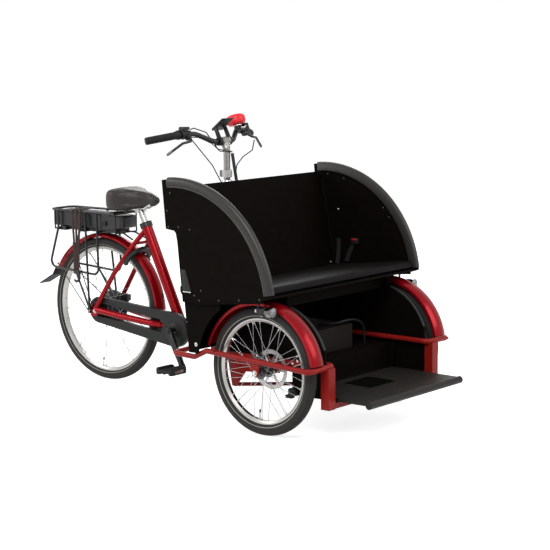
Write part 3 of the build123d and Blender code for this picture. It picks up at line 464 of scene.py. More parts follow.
def turned(profile, centre, axis, steps=24):
    """Turned piece: a profile of (distance along the axis, radius) spun round the axis."""
    centre, axis = Vector(centre), Vector(axis).normalized()
    aside = axis.orthogonal().normalized()
    piece = chain([centre + axis * along + aside * radius for along, radius in profile])
    bpy.ops.mesh.spin(steps=steps, angle=2 * pi, center=centre, axis=axis)
    seal()
    return piece


def bolt(place, axis, radius):
    """Button head screw with its socket, on a washer."""
    shape = ((0.0, 0.0), (0.0, 1.35), (0.18, 1.35), (0.2, 1.0), (0.5, 0.92), (0.72, 0.6), (0.72, 0.36),
             (0.35, 0.34), (0.35, 0.0))
    profile = [(along * radius, wide * radius) for along, wide in shape]
    return paint(turned(profile, place, axis, 14), bolt_steel)


def rounded(piece, width, segments=2):
    """Round the sharp edges of a piece."""
    only(piece)
    rounding = piece.modifiers.new("rounding", "BEVEL")
    rounding.width = width
    rounding.segments = segments
    rounding.limit_method = "ANGLE"
    rounding.angle_limit = radians(30.0)
    bpy.ops.object.modifier_apply(modifier=rounding.name)
    return piece


for side, axle, name in ((-1, RIGHT_AXLE, "right"), (1, LEFT_AXLE, "left")):
    out, round_way = heading(CALIPER_AT), heading(CALIPER_AT + 90.0)
    foot = Vector((axle.x, side * DISC_Y, axle.z)) - round_way * 0.023
    section = [(0.055, -0.018), (0.092, -0.018), (0.098, -0.012), (0.098, 0.010), (0.092, 0.015),
               (0.055, 0.015), (0.055, 0.004), (0.083, 0.004), (0.083, -0.004), (0.055, -0.004)]
    caliper = cut_plate([foot + out * a + ACROSS * side * b for a, b in section], round_way * 0.046)
    caliper = paint(rounded(caliper, 0.0025), black_lacquer)
    screws = [bolt(foot + out * 0.078 + round_way * a + ACROSS * side * 0.015, ACROSS * side, 0.0034)
              for a in (0.010, 0.036)]
    fit(join([caliper] + screws), "brake_caliper_" + name, "front_module")

# Rear frame
# Welded steel tubes in deep red lacquer under a clear coat. Axle nuts on washers clamp the rear
# wheel between its plates.
red_lacquer = Finish("red_lacquer", (0.24, 0.003, 0.007), 0.26, 0.45, Coat_Weight=0.08, Coat_Roughness=0.08,
                     Specular_IOR_Level=0.12)
red_lacquer.mottle((0.225, 0.002, 0.005), (0.265, 0.003, 0.008), 34.0, 4.0)
red_lacquer.sheen(0.22, 0.08, 60.0, 3.0)
red_lacquer.grain(40.0, 2.0, 0.04, 0.0006)
red_lacquer.coat("rear_frame")


def axle_nut(place, axis, radius):
    """Hexagon nut on a washer with the rounded end of the axle."""
    washer = turned([(0.0, 0.0), (0.0, radius * 1.5), (0.0016, radius * 1.5), (0.0016, 0.0)], place, axis, 24)
    nut = rod(place + axis * 0.0016, place + axis * radius * 0.95, radius * 1.12, sides=6)
    rounded(nut, radius * 0.08, 1)
    end = turned([(0.0, radius * 0.55), (radius * 1.2, radius * 0.55), (radius * 1.35, radius * 0.4),
                  (radius * 1.35, 0.0)], place, axis, 16)
    return paint(join([washer, nut, end]), bolt_steel)


PLATE_OUT = 0.0785
SIDES = ((-1, "right"), (1, "left"))
for side, name in SIDES:
    nut = axle_nut(REAR_AXLE + ACROSS * side * (PLATE_OUT + 0.0005), ACROSS * side, 0.0085)
    fit(nut, "rear_axle_nut_" + name, "rear_frame")

# Rear mudguard and stays
# Red pressed steel sheet over the wheel, held by thin black wire stays that are bolted to the
# axle plates. A flared black rubber flap hangs from its rear end.
red_lacquer.coat("rear_mudguard")
black_lacquer.coat("mudguard_stays")
soft_rubber = Finish("soft_rubber", (0.008, 0.008, 0.008), 0.68, Specular_IOR_Level=0.25)
soft_rubber.sheen(0.56, 0.2, 60.0, 3.0)
soft_rubber.grain(380.0, 2.0, 0.25, 0.0005)
soft_rubber.coat("mudflap")

GUARD_R = 0.350
stay_bolts = []
for side in (-1, 1):
    for turn in (146.0, 122.0):
        place = REAR_AXLE + heading(turn) * (GUARD_R - 0.010) + ACROSS * side * 0.0302
        stay_bolts.append(bolt(place, ACROSS * side, 0.0045))
fit(join(stay_bolts), "mudguard_bolts", "rear_frame")

eye = REAR_AXLE + heading(148.0) * (GUARD_R + 0.006)
bpy.ops.object.select_all(action="DESELECT")
bpy.ops.mesh.primitive_torus_add(location=eye - ACROSS * 0.036, rotation=(pi / 2, 0.0, 0.4),
                                 major_segments=32, minor_segments=10, major_radius=0.010,
                                 minor_radius=0.0018)
ring_eye = bpy.context.object
bpy.ops.object.transform_apply()
inset_where(ring_eye, lambda spot, normal: spot.z > eye.z + 0.006, use_individual=True, thickness=0.0002)
fit(paint(ring_eye, bolt_steel), "strap_eye", "rear_frame")

# Rear brake and ring lock
# Black drum brake with a cooling disc on the left of the hub, and a black horseshoe lock whose
# body is bolted to the seat stays.
black_lacquer.coat("rear_brake")
case_plastic = Finish("case_plastic", (0.011, 0.0115, 0.0108), 0.5, Specular_IOR_Level=0.2)
case_plastic.sheen(0.42, 0.14, 45.0, 3.0)
case_plastic.grain(520.0, 2.0, 0.2, 0.0003)
case_plastic.coat("ring_lock")

# Chain case and cranks
# Two moulded halves of charcoal plastic screwed together round the chain, with a long slot for
# the chain stay. The cranks are black and carry block pedals with amber reflectors.
case_plastic.coat("chain_case")
black_lacquer.coat("crank_set")
CASE_FACE = 0.0602
CRANK = Vector((-0.1865, 0.0, 0.282))
screws = []
for turn, centre, reach in ((200.0, REAR_AXLE, 0.050), (265.0, REAR_AXLE, 0.050), (95.0, REAR_AXLE, 0.051),
                            (60.0, CRANK, 0.066), (-20.0, CRANK, 0.066), (-90.0, CRANK, 0.066)):
    place = centre + heading(turn) * reach - ACROSS * (CASE_FACE - 0.003)
    screws.append(bolt(place, -ACROSS, 0.0032))
fit(join(screws), "chain_case_screws", "rear_frame")

cap = turned([(0.0, 0.011), (0.0, 0.032), (0.003, 0.032), (0.006, 0.027), (0.006, 0.014), (0.004, 0.011),
              (0.0, 0.011)], CRANK - ACROSS * (CASE_FACE - 0.002), -ACROSS, 40)
fit(paint(cap, case_plastic), "chain_case_cap", "rear_frame")


def side_plate(outline, y, thick):
    """Plate along the vehicle: corners (forward, up) at a distance across, and its thickness."""
    return cut_plate([(x, y, z) for x, z in outline], (0.0, thick, 0.0))


backing = side_plate([(-0.300, 0.3060), (-0.250, 0.3010), (-0.244, 0.2860), (-0.252, 0.2610),
                      (-0.300, 0.2650)], -0.0350, 0.0020)
fit(paint(rounded(backing, 0.0005, 1), case_plastic), "chain_case_backing", "rear_frame")

PEDAL_EYES = {-1: Vector((-0.1083, 0.0, 0.1310)), 1: Vector((-0.2647, 0.0, 0.4330))}
for side, name in SIDES:
    eye_at = PEDAL_EYES[side]
    run = (eye_at - CRANK).normalized()
    wide = Vector((-run.z, 0.0, run.x))
    edge = [(CRANK, -0.016, 0.010), (CRANK, 0.0, 0.018), (CRANK, 0.030, 0.0155), (eye_at, -0.020, 0.0115),
            (eye_at, 0.0, 0.0130), (eye_at, 0.012, 0.007)]
    edge += [(centre, ahead, -aside) for centre, ahead, aside in reversed(edge)]
    arm = cut_plate([centre + run * ahead + wide * aside + ACROSS * side * 0.0825
                     for centre, ahead, aside in edge], ACROSS * side * 0.0165)
    inset_where(arm, lambda spot, normal: normal.y * side > 0.9, thickness=0.0045, depth=-0.0014)
    paint(rounded(arm, 0.0018), black_lacquer)
    cover = turned([(0.0, 0.0), (0.0, 0.0115), (0.0020, 0.0115), (0.0034, 0.0090), (0.0034, 0.0)],
                   CRANK + ACROSS * side * 0.0975, ACROSS * side, 28)
    fit(join([arm, paint(cover, case_plastic)]), "crank_arm_" + name, "crank")

amber_lens = Finish("amber_lens", (0.10, 0.034, 0.008), 0.25, Coat_Weight=0.2)
amber_lens.grain(500.0, 0.0, 0.6, 0.0008)
soft_rubber.coat("pedal_right", "pedal_left")


def cube(corner, other):
    """Sharp block between two opposite corners, its place in its mesh."""
    low, high = Vector(map(min, corner, other)), Vector(map(max, corner, other))
    bpy.ops.object.select_all(action="DESELECT")
    bpy.ops.mesh.primitive_cube_add(size=1.0, location=(low + high) / 2, scale=high - low)
    bpy.ops.object.transform_apply()
    return bpy.context.object


def block(corner, other, rounding, finish, segments=2):
    """Painted block between two opposite corners, with its edges rounded."""
    return paint(rounded(cube(corner, other), rounding, segments), finish)


def pedal_blocks(name, spindle, side):
    """Ribbed tread bars on a pedal's two blocks and the reflectors in its end faces."""
    parts = []
    inner, outer = side * 0.119, side * 0.209
    for ahead in (-0.036, 0.036):
        for face in (-1, 1):
            x, z = spindle.x + ahead, spindle.z + face * 0.0125
            bar = cube((x - 0.0085, inner, z - 0.0015), (x + 0.0085, outer, z + 0.0015))
            edit(bar, whole=True)
            bpy.ops.mesh.subdivide(number_cuts=7)
            leave()
            inset_where(bar, lambda spot, normal: normal.z * face > 0.5, use_individual=True,
                        thickness=0.0006, depth=0.0008)
            parts.append(paint(bar, soft_rubber))
        x, z, margin = spindle.x + ahead * 1.235, spindle.z, side * 0.018
        parts.append(block((x - 0.0018, inner + margin, z - 0.007), (x + 0.0018, outer - margin, z + 0.007),
                           0.0012, amber_lens))
    fit(join(parts), name + "_treads", name)


for side, name in SIDES:
    pedal_blocks("pedal_" + name, PEDAL_EYES[side], side)

# Seat post and saddle
# Bright alloy post in a black clamp. The saddle is a gel pad under soft brown black hide, wide
# at the back and drawn down at its sides over a plastic base.
polished_alloy = Finish("polished_alloy", (0.44, 0.43, 0.41), 0.26, 1.0)
polished_alloy.sheen(0.16, 0.18, 60.0, 4.0)
polished_alloy.coat("seat_post")
black_lacquer.coat("seat_clamp")

saddle_hide = Finish("saddle_hide", (0.030, 0.024, 0.021), 0.42, Specular_IOR_Level=0.28)
saddle_hide.mottle((0.017, 0.0130, 0.0115), (0.029, 0.0230, 0.0200), 16.0, 4.0)
saddle_hide.sheen(0.36, 0.16, 30.0, 4.0)
hide_grain = saddle_hide.node("TexVoronoi", {}, {"Vector": saddle_hide.place, "Scale": 420.0})
saddle_hide.bump(hide_grain, 0.25, 0.0004)


def copy_of(node_name):
    """Copy of a CAD solid with its vertices merged."""
    source = nodes[node_name]
    bpy.ops.object.select_all(action="DESELECT")
    piece = source.copy()
    piece.data = source.data.copy()
    piece.parent = None
    piece.matrix_world = source.matrix_world
    bpy.context.scene.collection.objects.link(piece)
    edit(piece, "VERT", whole=True)
    bpy.ops.mesh.remove_doubles(threshold=0.0001)
    leave()
    return piece


CLOTH_STEPS, PRESSURE, BASE_SHARE = 20, 4.0, 0.15


def stuffed(node_name, voxel, easing, cap_move, base_z=-1.0):
    """Padded piece from a CAD solid: remeshed, eased, swelled by cloth pressure up to a cap.

    Below base_z the hide lies on its stiff base and moves only a little.
    """
    pad = copy_of(node_name)
    skin = pad.modifiers.new("skin", "REMESH")
    skin.mode = "VOXEL"
    skin.voxel_size = voxel
    bpy.ops.object.modifier_apply(modifier=skin.name)
    ease = pad.modifiers.new("ease", "SMOOTH")
    ease.factor = 0.5
    ease.iterations = easing
    bpy.ops.object.modifier_apply(modifier=ease.name)
    cloth = pad.modifiers.new("cloth", "CLOTH")
    cloth.settings.use_pressure = True
    cloth.settings.uniform_pressure_force = PRESSURE
    cloth.settings.effector_weights.gravity = 0.0
    start = [vertex.co.copy() for vertex in pad.data.vertices]
    for step in range(1, CLOTH_STEPS + 1):
        bpy.context.scene.frame_set(step)
    swelled = pad.evaluated_get(bpy.context.evaluated_depsgraph_get()).data
    places = [vertex.co.copy() for vertex in swelled.vertices]
    pad.modifiers.remove(cloth)
    bpy.context.scene.frame_set(1)
    for vertex, before, after in zip(pad.data.vertices, start, places):
        move = after - before
        if before.z < base_z:
            move *= BASE_SHARE
        if move.length > cap_move:
            move *= cap_move / move.length
        vertex.co = before + move
    finer = pad.modifiers.new("finer", "SUBSURF")
    finer.levels = 1
    finer.render_levels = 1
    bpy.ops.object.modifier_apply(modifier=finer.name)
    return pad


# The pad is drawn in from the rear towards its nose, made a little taller and let down on its base
SADDLE_NOSE, SADDLE_BASE_Z, SADDLE_MIDDLE_Z = -0.2900, 0.830, 0.870
SADDLE_STRETCH, SADDLE_DROP = (0.90, 1.0, 1.10), (0.0, 0.0, -0.006)
hide = paint(stuffed("saddle", 0.005, 110, 0.007, SADDLE_BASE_Z), saddle_hide)
edit(hide, whole=True)
bpy.ops.transform.resize(value=SADDLE_STRETCH, center_override=(SADDLE_NOSE, 0.0, SADDLE_MIDDLE_Z))
bpy.ops.transform.translate(value=SADDLE_DROP)
leave()
fit(hide, "saddle_hide_pad", "rear_frame", 60.0)
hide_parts("saddle")

# Carrier and battery
# Black tube carrier over the rear wheel with a pannier loop each side. The battery slides on a
# rail under its top frame, and ribbed rubber straps hook down to a bolt beside the axle.
black_lacquer.coat("carrier", "carrier_side_right", "carrier_side_left")
battery_shell = Finish("battery_shell", (0.0085, 0.0075, 0.0082), 0.34, Specular_IOR_Level=0.4)
battery_shell.sheen(0.28, 0.14, 26.0, 3.0)
battery_shell.grain(460.0, 2.0, 0.12, 0.0003)
CASE_REAR, CASE_NECK, CASE_FRONT = -0.9385, -0.632, -0.4985
CASE_LOW, CASE_TOP, CASE_HALF = 0.694, 0.770, 0.059

pack = cube((CASE_REAR, -CASE_HALF, CASE_LOW + 0.008), (CASE_NECK + 0.010, CASE_HALF, CASE_TOP))
edit(pack)
pick_faces(pack, lambda spot, normal: normal.x < -0.5)
bpy.ops.mesh.inset(thickness=0.012)
bpy.ops.transform.translate(value=(-0.0005, 0.0, 0.006))
pick_faces(pack, lambda spot, normal: abs(normal.y) > 0.9)
bpy.ops.mesh.inset(use_individual=True, thickness=0.014, depth=-0.0025)
leave()
paint(rounded(pack, 0.009, 4), battery_shell)
head_box = cube((CASE_NECK, -CASE_HALF - 0.004, CASE_LOW), (CASE_FRONT, CASE_HALF + 0.004, CASE_TOP - 0.002))
edit(head_box)
pick_faces(head_box, lambda spot, normal: normal.x > 0.5)
bpy.ops.transform.resize(value=(1.0, 0.78, 0.74), center_override=(CASE_FRONT, 0.0, CASE_TOP - 0.014))
pick_faces(head_box, lambda spot, normal: abs(normal.y) > 0.5)
bpy.ops.mesh.inset(use_individual=True, thickness=0.012, depth=-0.003)
leave()
paint(rounded(head_box, 0.010, 4), battery_shell)
key_lock = turned([(0.0, 0.0), (0.0, 0.0105), (0.002, 0.0105), (0.003, 0.0085), (0.003, 0.0040),
                   (0.001, 0.0036), (0.001, 0.0)], (CASE_NECK + 0.030, -CASE_HALF - 0.0015, 0.728), -ACROSS,
                  20)
fit(join([pack, head_box, paint(key_lock, case_plastic)]), "battery_case", "rear_frame")
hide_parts("battery")
rail = [block((CASE_REAR + 0.03, -0.046, CASE_LOW - 0.008), (CASE_FRONT - 0.05, 0.046, CASE_LOW + 0.010),
              0.003, black_lacquer)]
rail += [block((x, -0.064, CASE_LOW - 0.012), (x + 0.040, 0.064, CASE_LOW + 0.006), 0.003, black_lacquer)
         for x in (CASE_REAR + 0.045, CASE_REAR + 0.170)]
fit(join(rail), "battery_rail", "rear_frame")

red_lens = Finish("red_lens", (0.30, 0.006, 0.006), 0.18, Coat_Weight=0.6)
red_lens.grain(420.0, 0.0, 0.5, 0.0008)
tail_lamp = block((CASE_REAR - 0.010, -0.034, CASE_LOW + 0.034), (CASE_REAR + 0.004, 0.034, CASE_LOW + 0.056),
                  0.004, red_lens, 3)
fit(tail_lamp, "tail_lamp", "rear_frame")

strap_rubber = Finish("strap_rubber", (0.05, 0.012, 0.010), 0.6, Specular_IOR_Level=0.25)
strap_bands = strap_rubber.node("TexWave", {"bands_direction": "Z"},
                                {"Vector": strap_rubber.place, "Scale": 34.0})
strap_rubber.set("Base Color", strap_rubber.blend(strap_bands, (0.008, 0.006, 0.006), (0.042, 0.010, 0.008)))
strap_rubber.bump(strap_bands, 0.3, 0.0008)


def ribbon(points, wide, thick, finish, segments=2):
    """Flat strap or belt through points, its width along x and its thickness outwards."""
    half = Vector((wide / 2, 0.0, 0.0))
    piece = chain([Vector(point) - half for point in points])
    pull(half * 2)
    leave()
    wall = piece.modifiers.new("wall", "SOLIDIFY")
    wall.thickness = thick
    wall.offset = 0.0
    bpy.ops.object.modifier_apply(modifier=wall.name)
    edit(piece)
    seal()
    return paint(rounded(piece, thick * 0.3, segments), finish)


straps = []
for near, low in ((-0.790, -0.781), (-0.764, -0.768), (-0.738, -0.755)):
    route = [(near, 0.030, 0.7840), (near, -0.060, 0.7850), (near, -0.0795, 0.7810), (near, -0.0815, 0.770),
             ((near + low) / 2, -0.0810, 0.690), (low, -0.0805, 0.600), (low, -0.0830, 0.500)]
    straps.append(ribbon(route, 0.012, 0.0030, strap_rubber))
hook = side_plate([(-0.788, 0.505), (-0.748, 0.505), (-0.744, 0.470), (-0.752, 0.452), (-0.772, 0.446),
                   (-0.786, 0.456), (-0.782, 0.464), (-0.770, 0.458), (-0.758, 0.464), (-0.757, 0.484),
                   (-0.786, 0.488)], -0.087, 0.007)
paint(rounded(hook, 0.0015), black_lacquer)
fit(join(straps + [hook]), "carrier_straps", "rear_frame")

# Steering column and handlebar
# Satin alloy stem clamped in the head tube under a ribbed collar. The swept bar is lacquered
# black, with ribbed rubber grips, and its cables run down in a sleeve behind the backrest.
HEAD = Vector((0.0855, 0.0, 0.0))
UPWARD = Vector((0.0, 0.0, 1.0))
column_alloy = Finish("column_alloy", (0.25, 0.245, 0.232), 0.36, 1.0)
column_alloy.sheen(0.34, 0.1, 50.0, 3.0)
column_alloy.coat("steering_column")
# From the root of each grip on, the bar's end is swept further back and out than in the solid
BAR_ROOT, BAR_END, SOLID_END = (Vector((0.0195, 0.190, 1.157)), Vector((-0.0660, 0.332, 1.1310)),
                                Vector((-0.0165, 0.322, 1.126)))


def mirrored(place, side):
    """A place or a direction given for the left side, on one side or the other."""
    return Vector((place.x, side * place.y, place.z))


bar = copy_of("handlebar")
for vertex in bar.data.vertices:
    share = max(0.0, (abs(vertex.co.y) - BAR_ROOT.y) / (SOLID_END.y - BAR_ROOT.y))
    vertex.co += mirrored(BAR_END - SOLID_END, 1 if vertex.co.y > 0.0 else -1) * share
fit(paint(bar, black_lacquer), "swept_bar", "front_module")
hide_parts("handlebar")

cable_jacket = Finish("cable_jacket", (0.010, 0.010, 0.010), 0.42, Specular_IOR_Level=0.4)
cable_jacket.sheen(0.36, 0.16, 120.0, 2.0)
cable_jacket.coat("control_cables")

pale_alloy = Finish("pale_alloy", (0.50, 0.495, 0.48), 0.4, 0.4)
pale_alloy.sheen(0.34, 0.16, 140.0, 2.0)

dull_grey = Finish("dull_grey", (0.15, 0.148, 0.142), 0.42, Specular_IOR_Level=0.3)
dull_grey.sheen(0.36, 0.14, 90.0, 2.0)

COLLAR_RIBS = 6
collar_profile = [(0.0, 0.0165), (0.0, 0.0212)]
for step in range(COLLAR_RIBS):
    rise = 0.0015 + step * 0.0048
    collar_profile += [(rise, 0.0224), (rise + 0.0030, 0.0224), (rise + 0.0036, 0.0212),
                       (rise + 0.0044, 0.0212)]
collar_profile += [(0.0310, 0.0212), (0.0310, 0.0165), (0.0, 0.0165)]
collar = paint(turned(collar_profile, HEAD + UPWARD * 0.965, UPWARD, 48), pale_alloy)
collar_bolts = [bolt(HEAD + Vector((-0.0215, -0.007, height)), (-1.0, -0.25, 0.0), 0.0036)
                for height in (0.972, 0.988)]
lug = block((0.0540, -0.0110, 0.9655), (0.0690, 0.0110, 0.9950), 0.002, cable_jacket)
ribs = [block((0.0525, -0.0120, low), (0.0690, 0.0120, low + 0.0030), 0.0008, dull_grey)
        for low in (0.9670, 0.9725, 0.9780, 0.9835, 0.9890)]
fit(join([collar, lug] + ribs + collar_bolts), "stem_collar", "front_module")

headset = turned([(0.0, 0.019), (0.0, 0.0225), (0.004, 0.0238), (0.008, 0.0225), (0.012, 0.0205),
                  (0.012, 0.018), (0.0, 0.018)], HEAD + UPWARD * 0.9410, UPWARD, 40)
fit(paint(headset, bolt_steel), "headset_ring", "front_module")

BAR_MID = Vector((0.0715, 0.0, 1.118))
cap_bolts = [bolt(BAR_MID + Vector((0.0185, aside, height)), (1.0, 0.0, 0.0), 0.0032)
             for aside in (-0.013, 0.013) for height in (-0.010, 0.010)]
fit(join(cap_bolts), "bar_clamp_bolts", "front_module")

GRIP_RIBS = 19
grip_profile = [(-0.0040, 0.0), (-0.0040, 0.0130), (-0.0020, 0.0155), (0.0040, 0.0160)]
for step in range(GRIP_RIBS):
    along = 0.0060 + step * 0.0060
    grip_profile += [(along, 0.0152), (along + 0.0010, 0.0163), (along + 0.0042, 0.0163),
                     (along + 0.0052, 0.0152)]
grip_profile += [(0.1220, 0.0162), (0.1350, 0.0195), (0.1410, 0.0205), (0.1450, 0.0195), (0.1450, 0.0112)]
for side, name in SIDES:
    end = mirrored(BAR_END, side)
    sleeve = paint(turned(grip_profile, end, mirrored(BAR_ROOT, side) - end, 28), soft_rubber)
    fit(sleeve, "grip_sleeve_" + name, "front_module")
    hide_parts("grip_" + name)

# Brake levers and shifter
# Black cast levers on clamps beside the grips, each blade ending in a dull grey rounded tip. At
# the root of each grip a round twist control carries a flat housing with a small window.
black_lacquer.coat("brake_lever_right", "brake_lever_left")
window_glass = Finish("window_glass", (0.30, 0.31, 0.32), 0.16, Coat_Weight=0.6)
window_glass.sheen(0.12, 0.1, 90.0, 2.0)
for side, name in SIDES:
    tip, root = Vector((0.0235, side * 0.300, 1.076)), Vector((0.0495, side * 0.235, 1.120))
    along = (tip - root).normalized()
    cap = turned([(-0.020, 0.0), (-0.020, 0.0060), (-0.004, 0.0062), (0.003, 0.0055), (0.007, 0.0035),
                  (0.008, 0.0)], tip - along * 0.003, along, 16)
    pivot = bolt((0.0345, side * 0.181, 1.172), (0.1, side * 0.1, 1.0), 0.0055)
    fit(join([paint(cap, dull_grey), pivot]), "lever_tip_" + name, "front_module")

    bar_way = mirrored(BAR_ROOT - SOLID_END, side).normalized()
    barrel = turned([(0.0, 0.0115), (0.0, 0.0195), (0.003, 0.0215), (0.024, 0.0215), (0.028, 0.0185),
                     (0.030, 0.0115), (0.0, 0.0115)],
                    Vector((0.0145, side * 0.2085, 1.1525)) + bar_way * 0.001, bar_way, 32)
    housing = cube((-0.006, side * 0.204, 1.166), (0.040, side * 0.172, 1.187))
    edit(housing)
    pick_faces(housing, lambda spot, normal: normal.z > 0.5)
    bpy.ops.transform.resize(value=(0.78, 0.86, 1.0), center_override=(0.012, side * 0.188, 1.187))
    bpy.ops.mesh.inset(thickness=0.004, depth=-0.0012)
    leave()
    paint(barrel, case_plastic)
    paint(rounded(housing, 0.003, 3), case_plastic)
    window = block((0.004, side * 0.194, 1.1850), (0.022, side * 0.182, 1.1868), 0.0006, window_glass, 1)
    perch = turned([(0.0, 0.0), (0.0, 0.011), (0.004, 0.0128), (0.018, 0.0128), (0.022, 0.010), (0.022, 0.0)],
                   (0.030, side * 0.170, 1.140), (0.1, side, 0.1), 24)
    paint(perch, black_lacquer)
    fit(join([barrel, housing, window, perch]), "shifter_housing_" + name, "front_module")

# Display and bell
# Thin black display board with a curled top edge on two slim arms clamped to the bar, and a
# large red enamelled bell on a black foot with a bright ring.
BOARD_HALF, GLASS_HALF, ARM_THICK = 0.0340, 0.0270, 0.0080
board = side_plate([(0.0300, 1.1700), (0.0850, 1.2120), (0.0905, 1.2160), (0.0990, 1.2165), (0.0990, 1.2130),
                    (0.0930, 1.2115), (0.0900, 1.2050), (0.0345, 1.1620)], -BOARD_HALF, 2 * BOARD_HALF)
inset_where(board, lambda spot, normal: normal.z > 0.6 and spot.x < 0.080, thickness=0.004, depth=-0.0010)
display = [paint(rounded(board, 0.0012), case_plastic)]
for aside in (-0.0300, 0.0300):
    arm = side_plate([(0.0610, 1.1290), (0.0440, 1.1690), (0.0580, 1.1790), (0.0700, 1.1560),
                      (0.0860, 1.1240), (0.0820, 1.1080), (0.0640, 1.1060)], aside - ARM_THICK / 2, ARM_THICK)
    band = turned([(-0.0080, 0.0110), (-0.0080, 0.0175), (-0.0060, 0.0185), (0.0060, 0.0185),
                   (0.0080, 0.0175), (0.0080, 0.0110), (-0.0080, 0.0110)],
                  BAR_MID + ACROSS * aside, ACROSS, 28)
    ear = block((0.0470, aside - 0.006, 1.1010), (0.0620, aside + 0.006, 1.1130), 0.002, case_plastic)
    display += [paint(rounded(arm, 0.0015), case_plastic), paint(band, case_plastic), ear,
                bolt((0.0540, aside, 1.1015), -UPWARD, 0.0024)]
glass = side_plate([(0.0400, 1.1760), (0.0790, 1.2058), (0.0786, 1.2066), (0.0396, 1.1768)], -GLASS_HALF,
                   2 * GLASS_HALF)
display = join(display + [paint(glass, window_glass)])
fit(display, "display_board", "front_module")
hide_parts("display_unit")

bell_enamel = Finish("bell_enamel", (0.74, 0.020, 0.030), 0.36, 0.0, Specular_IOR_Level=0.3)
bell_enamel.sheen(0.32, 0.1, 60.0, 2.0)
bell_enamel.coat("bell")
BELL_AT = Vector((0.0275, 0.128, 1.200))
BELL_LEAN = 20.0
bell_up = heading(90.0 + BELL_LEAN)
ring = turned([(0.0, 0.0), (0.0, 0.0170), (0.0015, 0.0190), (0.0045, 0.0190), (0.0060, 0.0170),
               (0.0060, 0.0)], BELL_AT - bell_up * 0.0285, bell_up, 32)
foot = turned([(0.0, 0.0), (0.0, 0.0125), (0.003, 0.0150), (0.016, 0.0165), (0.020, 0.0150), (0.020, 0.0)],
              BELL_AT - bell_up * 0.0490, bell_up, 28)
striker = block((0.060, 0.122, 1.168), (0.078, 0.134, 1.174), 0.002, bolt_steel)
fit(join([paint(ring, bolt_steel), paint(foot, case_plastic), striker]), "bell_foot", "front_module")

# Side panels
# Black coated plywood boards with a matt face, joined along a batten above the wheel. Dome
# rivets hold them to the steel tube behind, and a large bright screw fixes the lower board.
black_board = Finish("black_board", (0.0035, 0.0027, 0.002), 0.62, Specular_IOR_Level=0.02)
black_board.mottle((0.0026, 0.0019, 0.0014), (0.0050, 0.0038, 0.0028), 26.0, 5.0)
black_board.sheen(0.5, 0.2, 70.0, 4.0)
black_board.grain(500.0, 2.0, 0.15, 0.0003)
black_board.coat("side_panel_right", "side_panel_left", "lower_side_panel_right", "lower_side_panel_left",
                 "rear_wall")

dark_rivet = Finish("dark_rivet", (0.050, 0.047, 0.043), 0.34, 0.7)
dark_rivet.sheen(0.28, 0.2, 160.0, 2.0)

PANEL_FACE, PANEL_INSIDE, LOWER_FACE = 0.495, 0.485, 0.4846


def rivet(place, axis, radius):
    """Dome headed rivet."""
    shape = ((0.0, 0.0), (0.0, 1.0), (0.25, 0.92), (0.45, 0.6), (0.52, 0.0))
    profile = [(along * radius, wide * radius) for along, wide in shape]
    return paint(turned(profile, place, axis, 12), dark_rivet)


# Places along the panel: distance forward, height
OUTER_RIVETS = [(0.2167, 0.9438), (0.1989, 0.8715), (0.2048, 0.8072), (0.2600, 0.8096), (0.3203, 0.8023),
                (0.3746, 0.5638), (0.3388, 0.5417), (0.3652, 0.5236), (0.4687, 0.5333), (0.5733, 0.5431),
                (0.6783, 0.5549)]
INNER_RIVETS = [(0.2504, 0.9524), (0.3386, 0.9357), (0.5515, 0.8194), (0.5818, 0.7792)]
INNER_BOLT = (0.3084, 0.7992)
for side, name in SIDES:
    outward = ACROSS * side
    heads = [rivet((x, side * PANEL_FACE, z), outward, 0.0038) for x, z in OUTER_RIVETS]
    heads += [rivet((x, side * PANEL_INSIDE, z), -outward, 0.0044) for x, z in INNER_RIVETS]
    heads.append(bolt((INNER_BOLT[0], side * PANEL_INSIDE, INNER_BOLT[1]), -outward, 0.0038))
    heads.append(bolt((0.3346, side * LOWER_FACE, 0.3419), outward, 0.0060))
    heads.append(rivet((0.2868, side * LOWER_FACE, 0.4282), outward, 0.0040))
    fit(join(heads), "panel_fasteners_" + name, "front_module")

    y, thick = side * PANEL_FACE, side * 0.0022
    batten = side_plate([(0.3380, 0.5110), (0.6900, 0.5480), (0.6900, 0.5400), (0.3390, 0.5035)], y, thick)
    paint(rounded(batten, 0.0006, 1), black_board)
    hinge = side_plate([(0.2700, 0.6410), (0.2950, 0.6410), (0.3230, 0.5560), (0.3230, 0.5500),
                        (0.2790, 0.5500)], y, thick)
    paint(rounded(hinge, 0.0008), case_plastic)
    hem = side_plate([(0.2790, 0.5540), (0.3230, 0.5540), (0.3230, 0.5505), (0.2790, 0.5505)], y + thick,
                     thick * 0.4)
    fit(join([batten, hinge, paint(hem, bolt_steel)]), "panel_batten_" + name, "front_module")

# Panel edging
# Thick extruded rubber profile with rounded shoulders and two shallow grooves, pressed over the
# curved front edge of each side panel and cut off square at its ends.
edge_rubber = Finish("edge_rubber", (0.018, 0.016, 0.014), 0.42, Specular_IOR_Level=0.32)
edge_rubber.mottle((0.014, 0.0124, 0.0108), (0.023, 0.0200, 0.0174), 14.0, 4.0)
edge_rubber.sheen(0.34, 0.14, 80.0, 3.0)
edge_rubber.grain(360.0, 2.0, 0.2, 0.0005)

PANEL_ARC = Vector((0.2435, 0.0, 0.505))
# Section of the profile: distance from the arc's middle, distance from the vehicle's middle plane
EDGE_SECTION = [(0.4600, 0.4945), (0.4612, 0.4972), (0.4640, 0.4990), (0.4690, 0.5000), (0.4700, 0.4988),
                (0.4710, 0.4988), (0.4722, 0.5003), (0.4790, 0.5005), (0.4860, 0.5000), (0.4920, 0.4982),
                (0.4968, 0.4950), (0.5000, 0.4905), (0.5018, 0.4850), (0.5012, 0.4790), (0.4985, 0.4742),
                (0.4930, 0.4712), (0.4640, 0.4708), (0.4608, 0.4730), (0.4598, 0.4770)]
EDGE_START, EDGE_END = radians(8.2), radians(95.0)


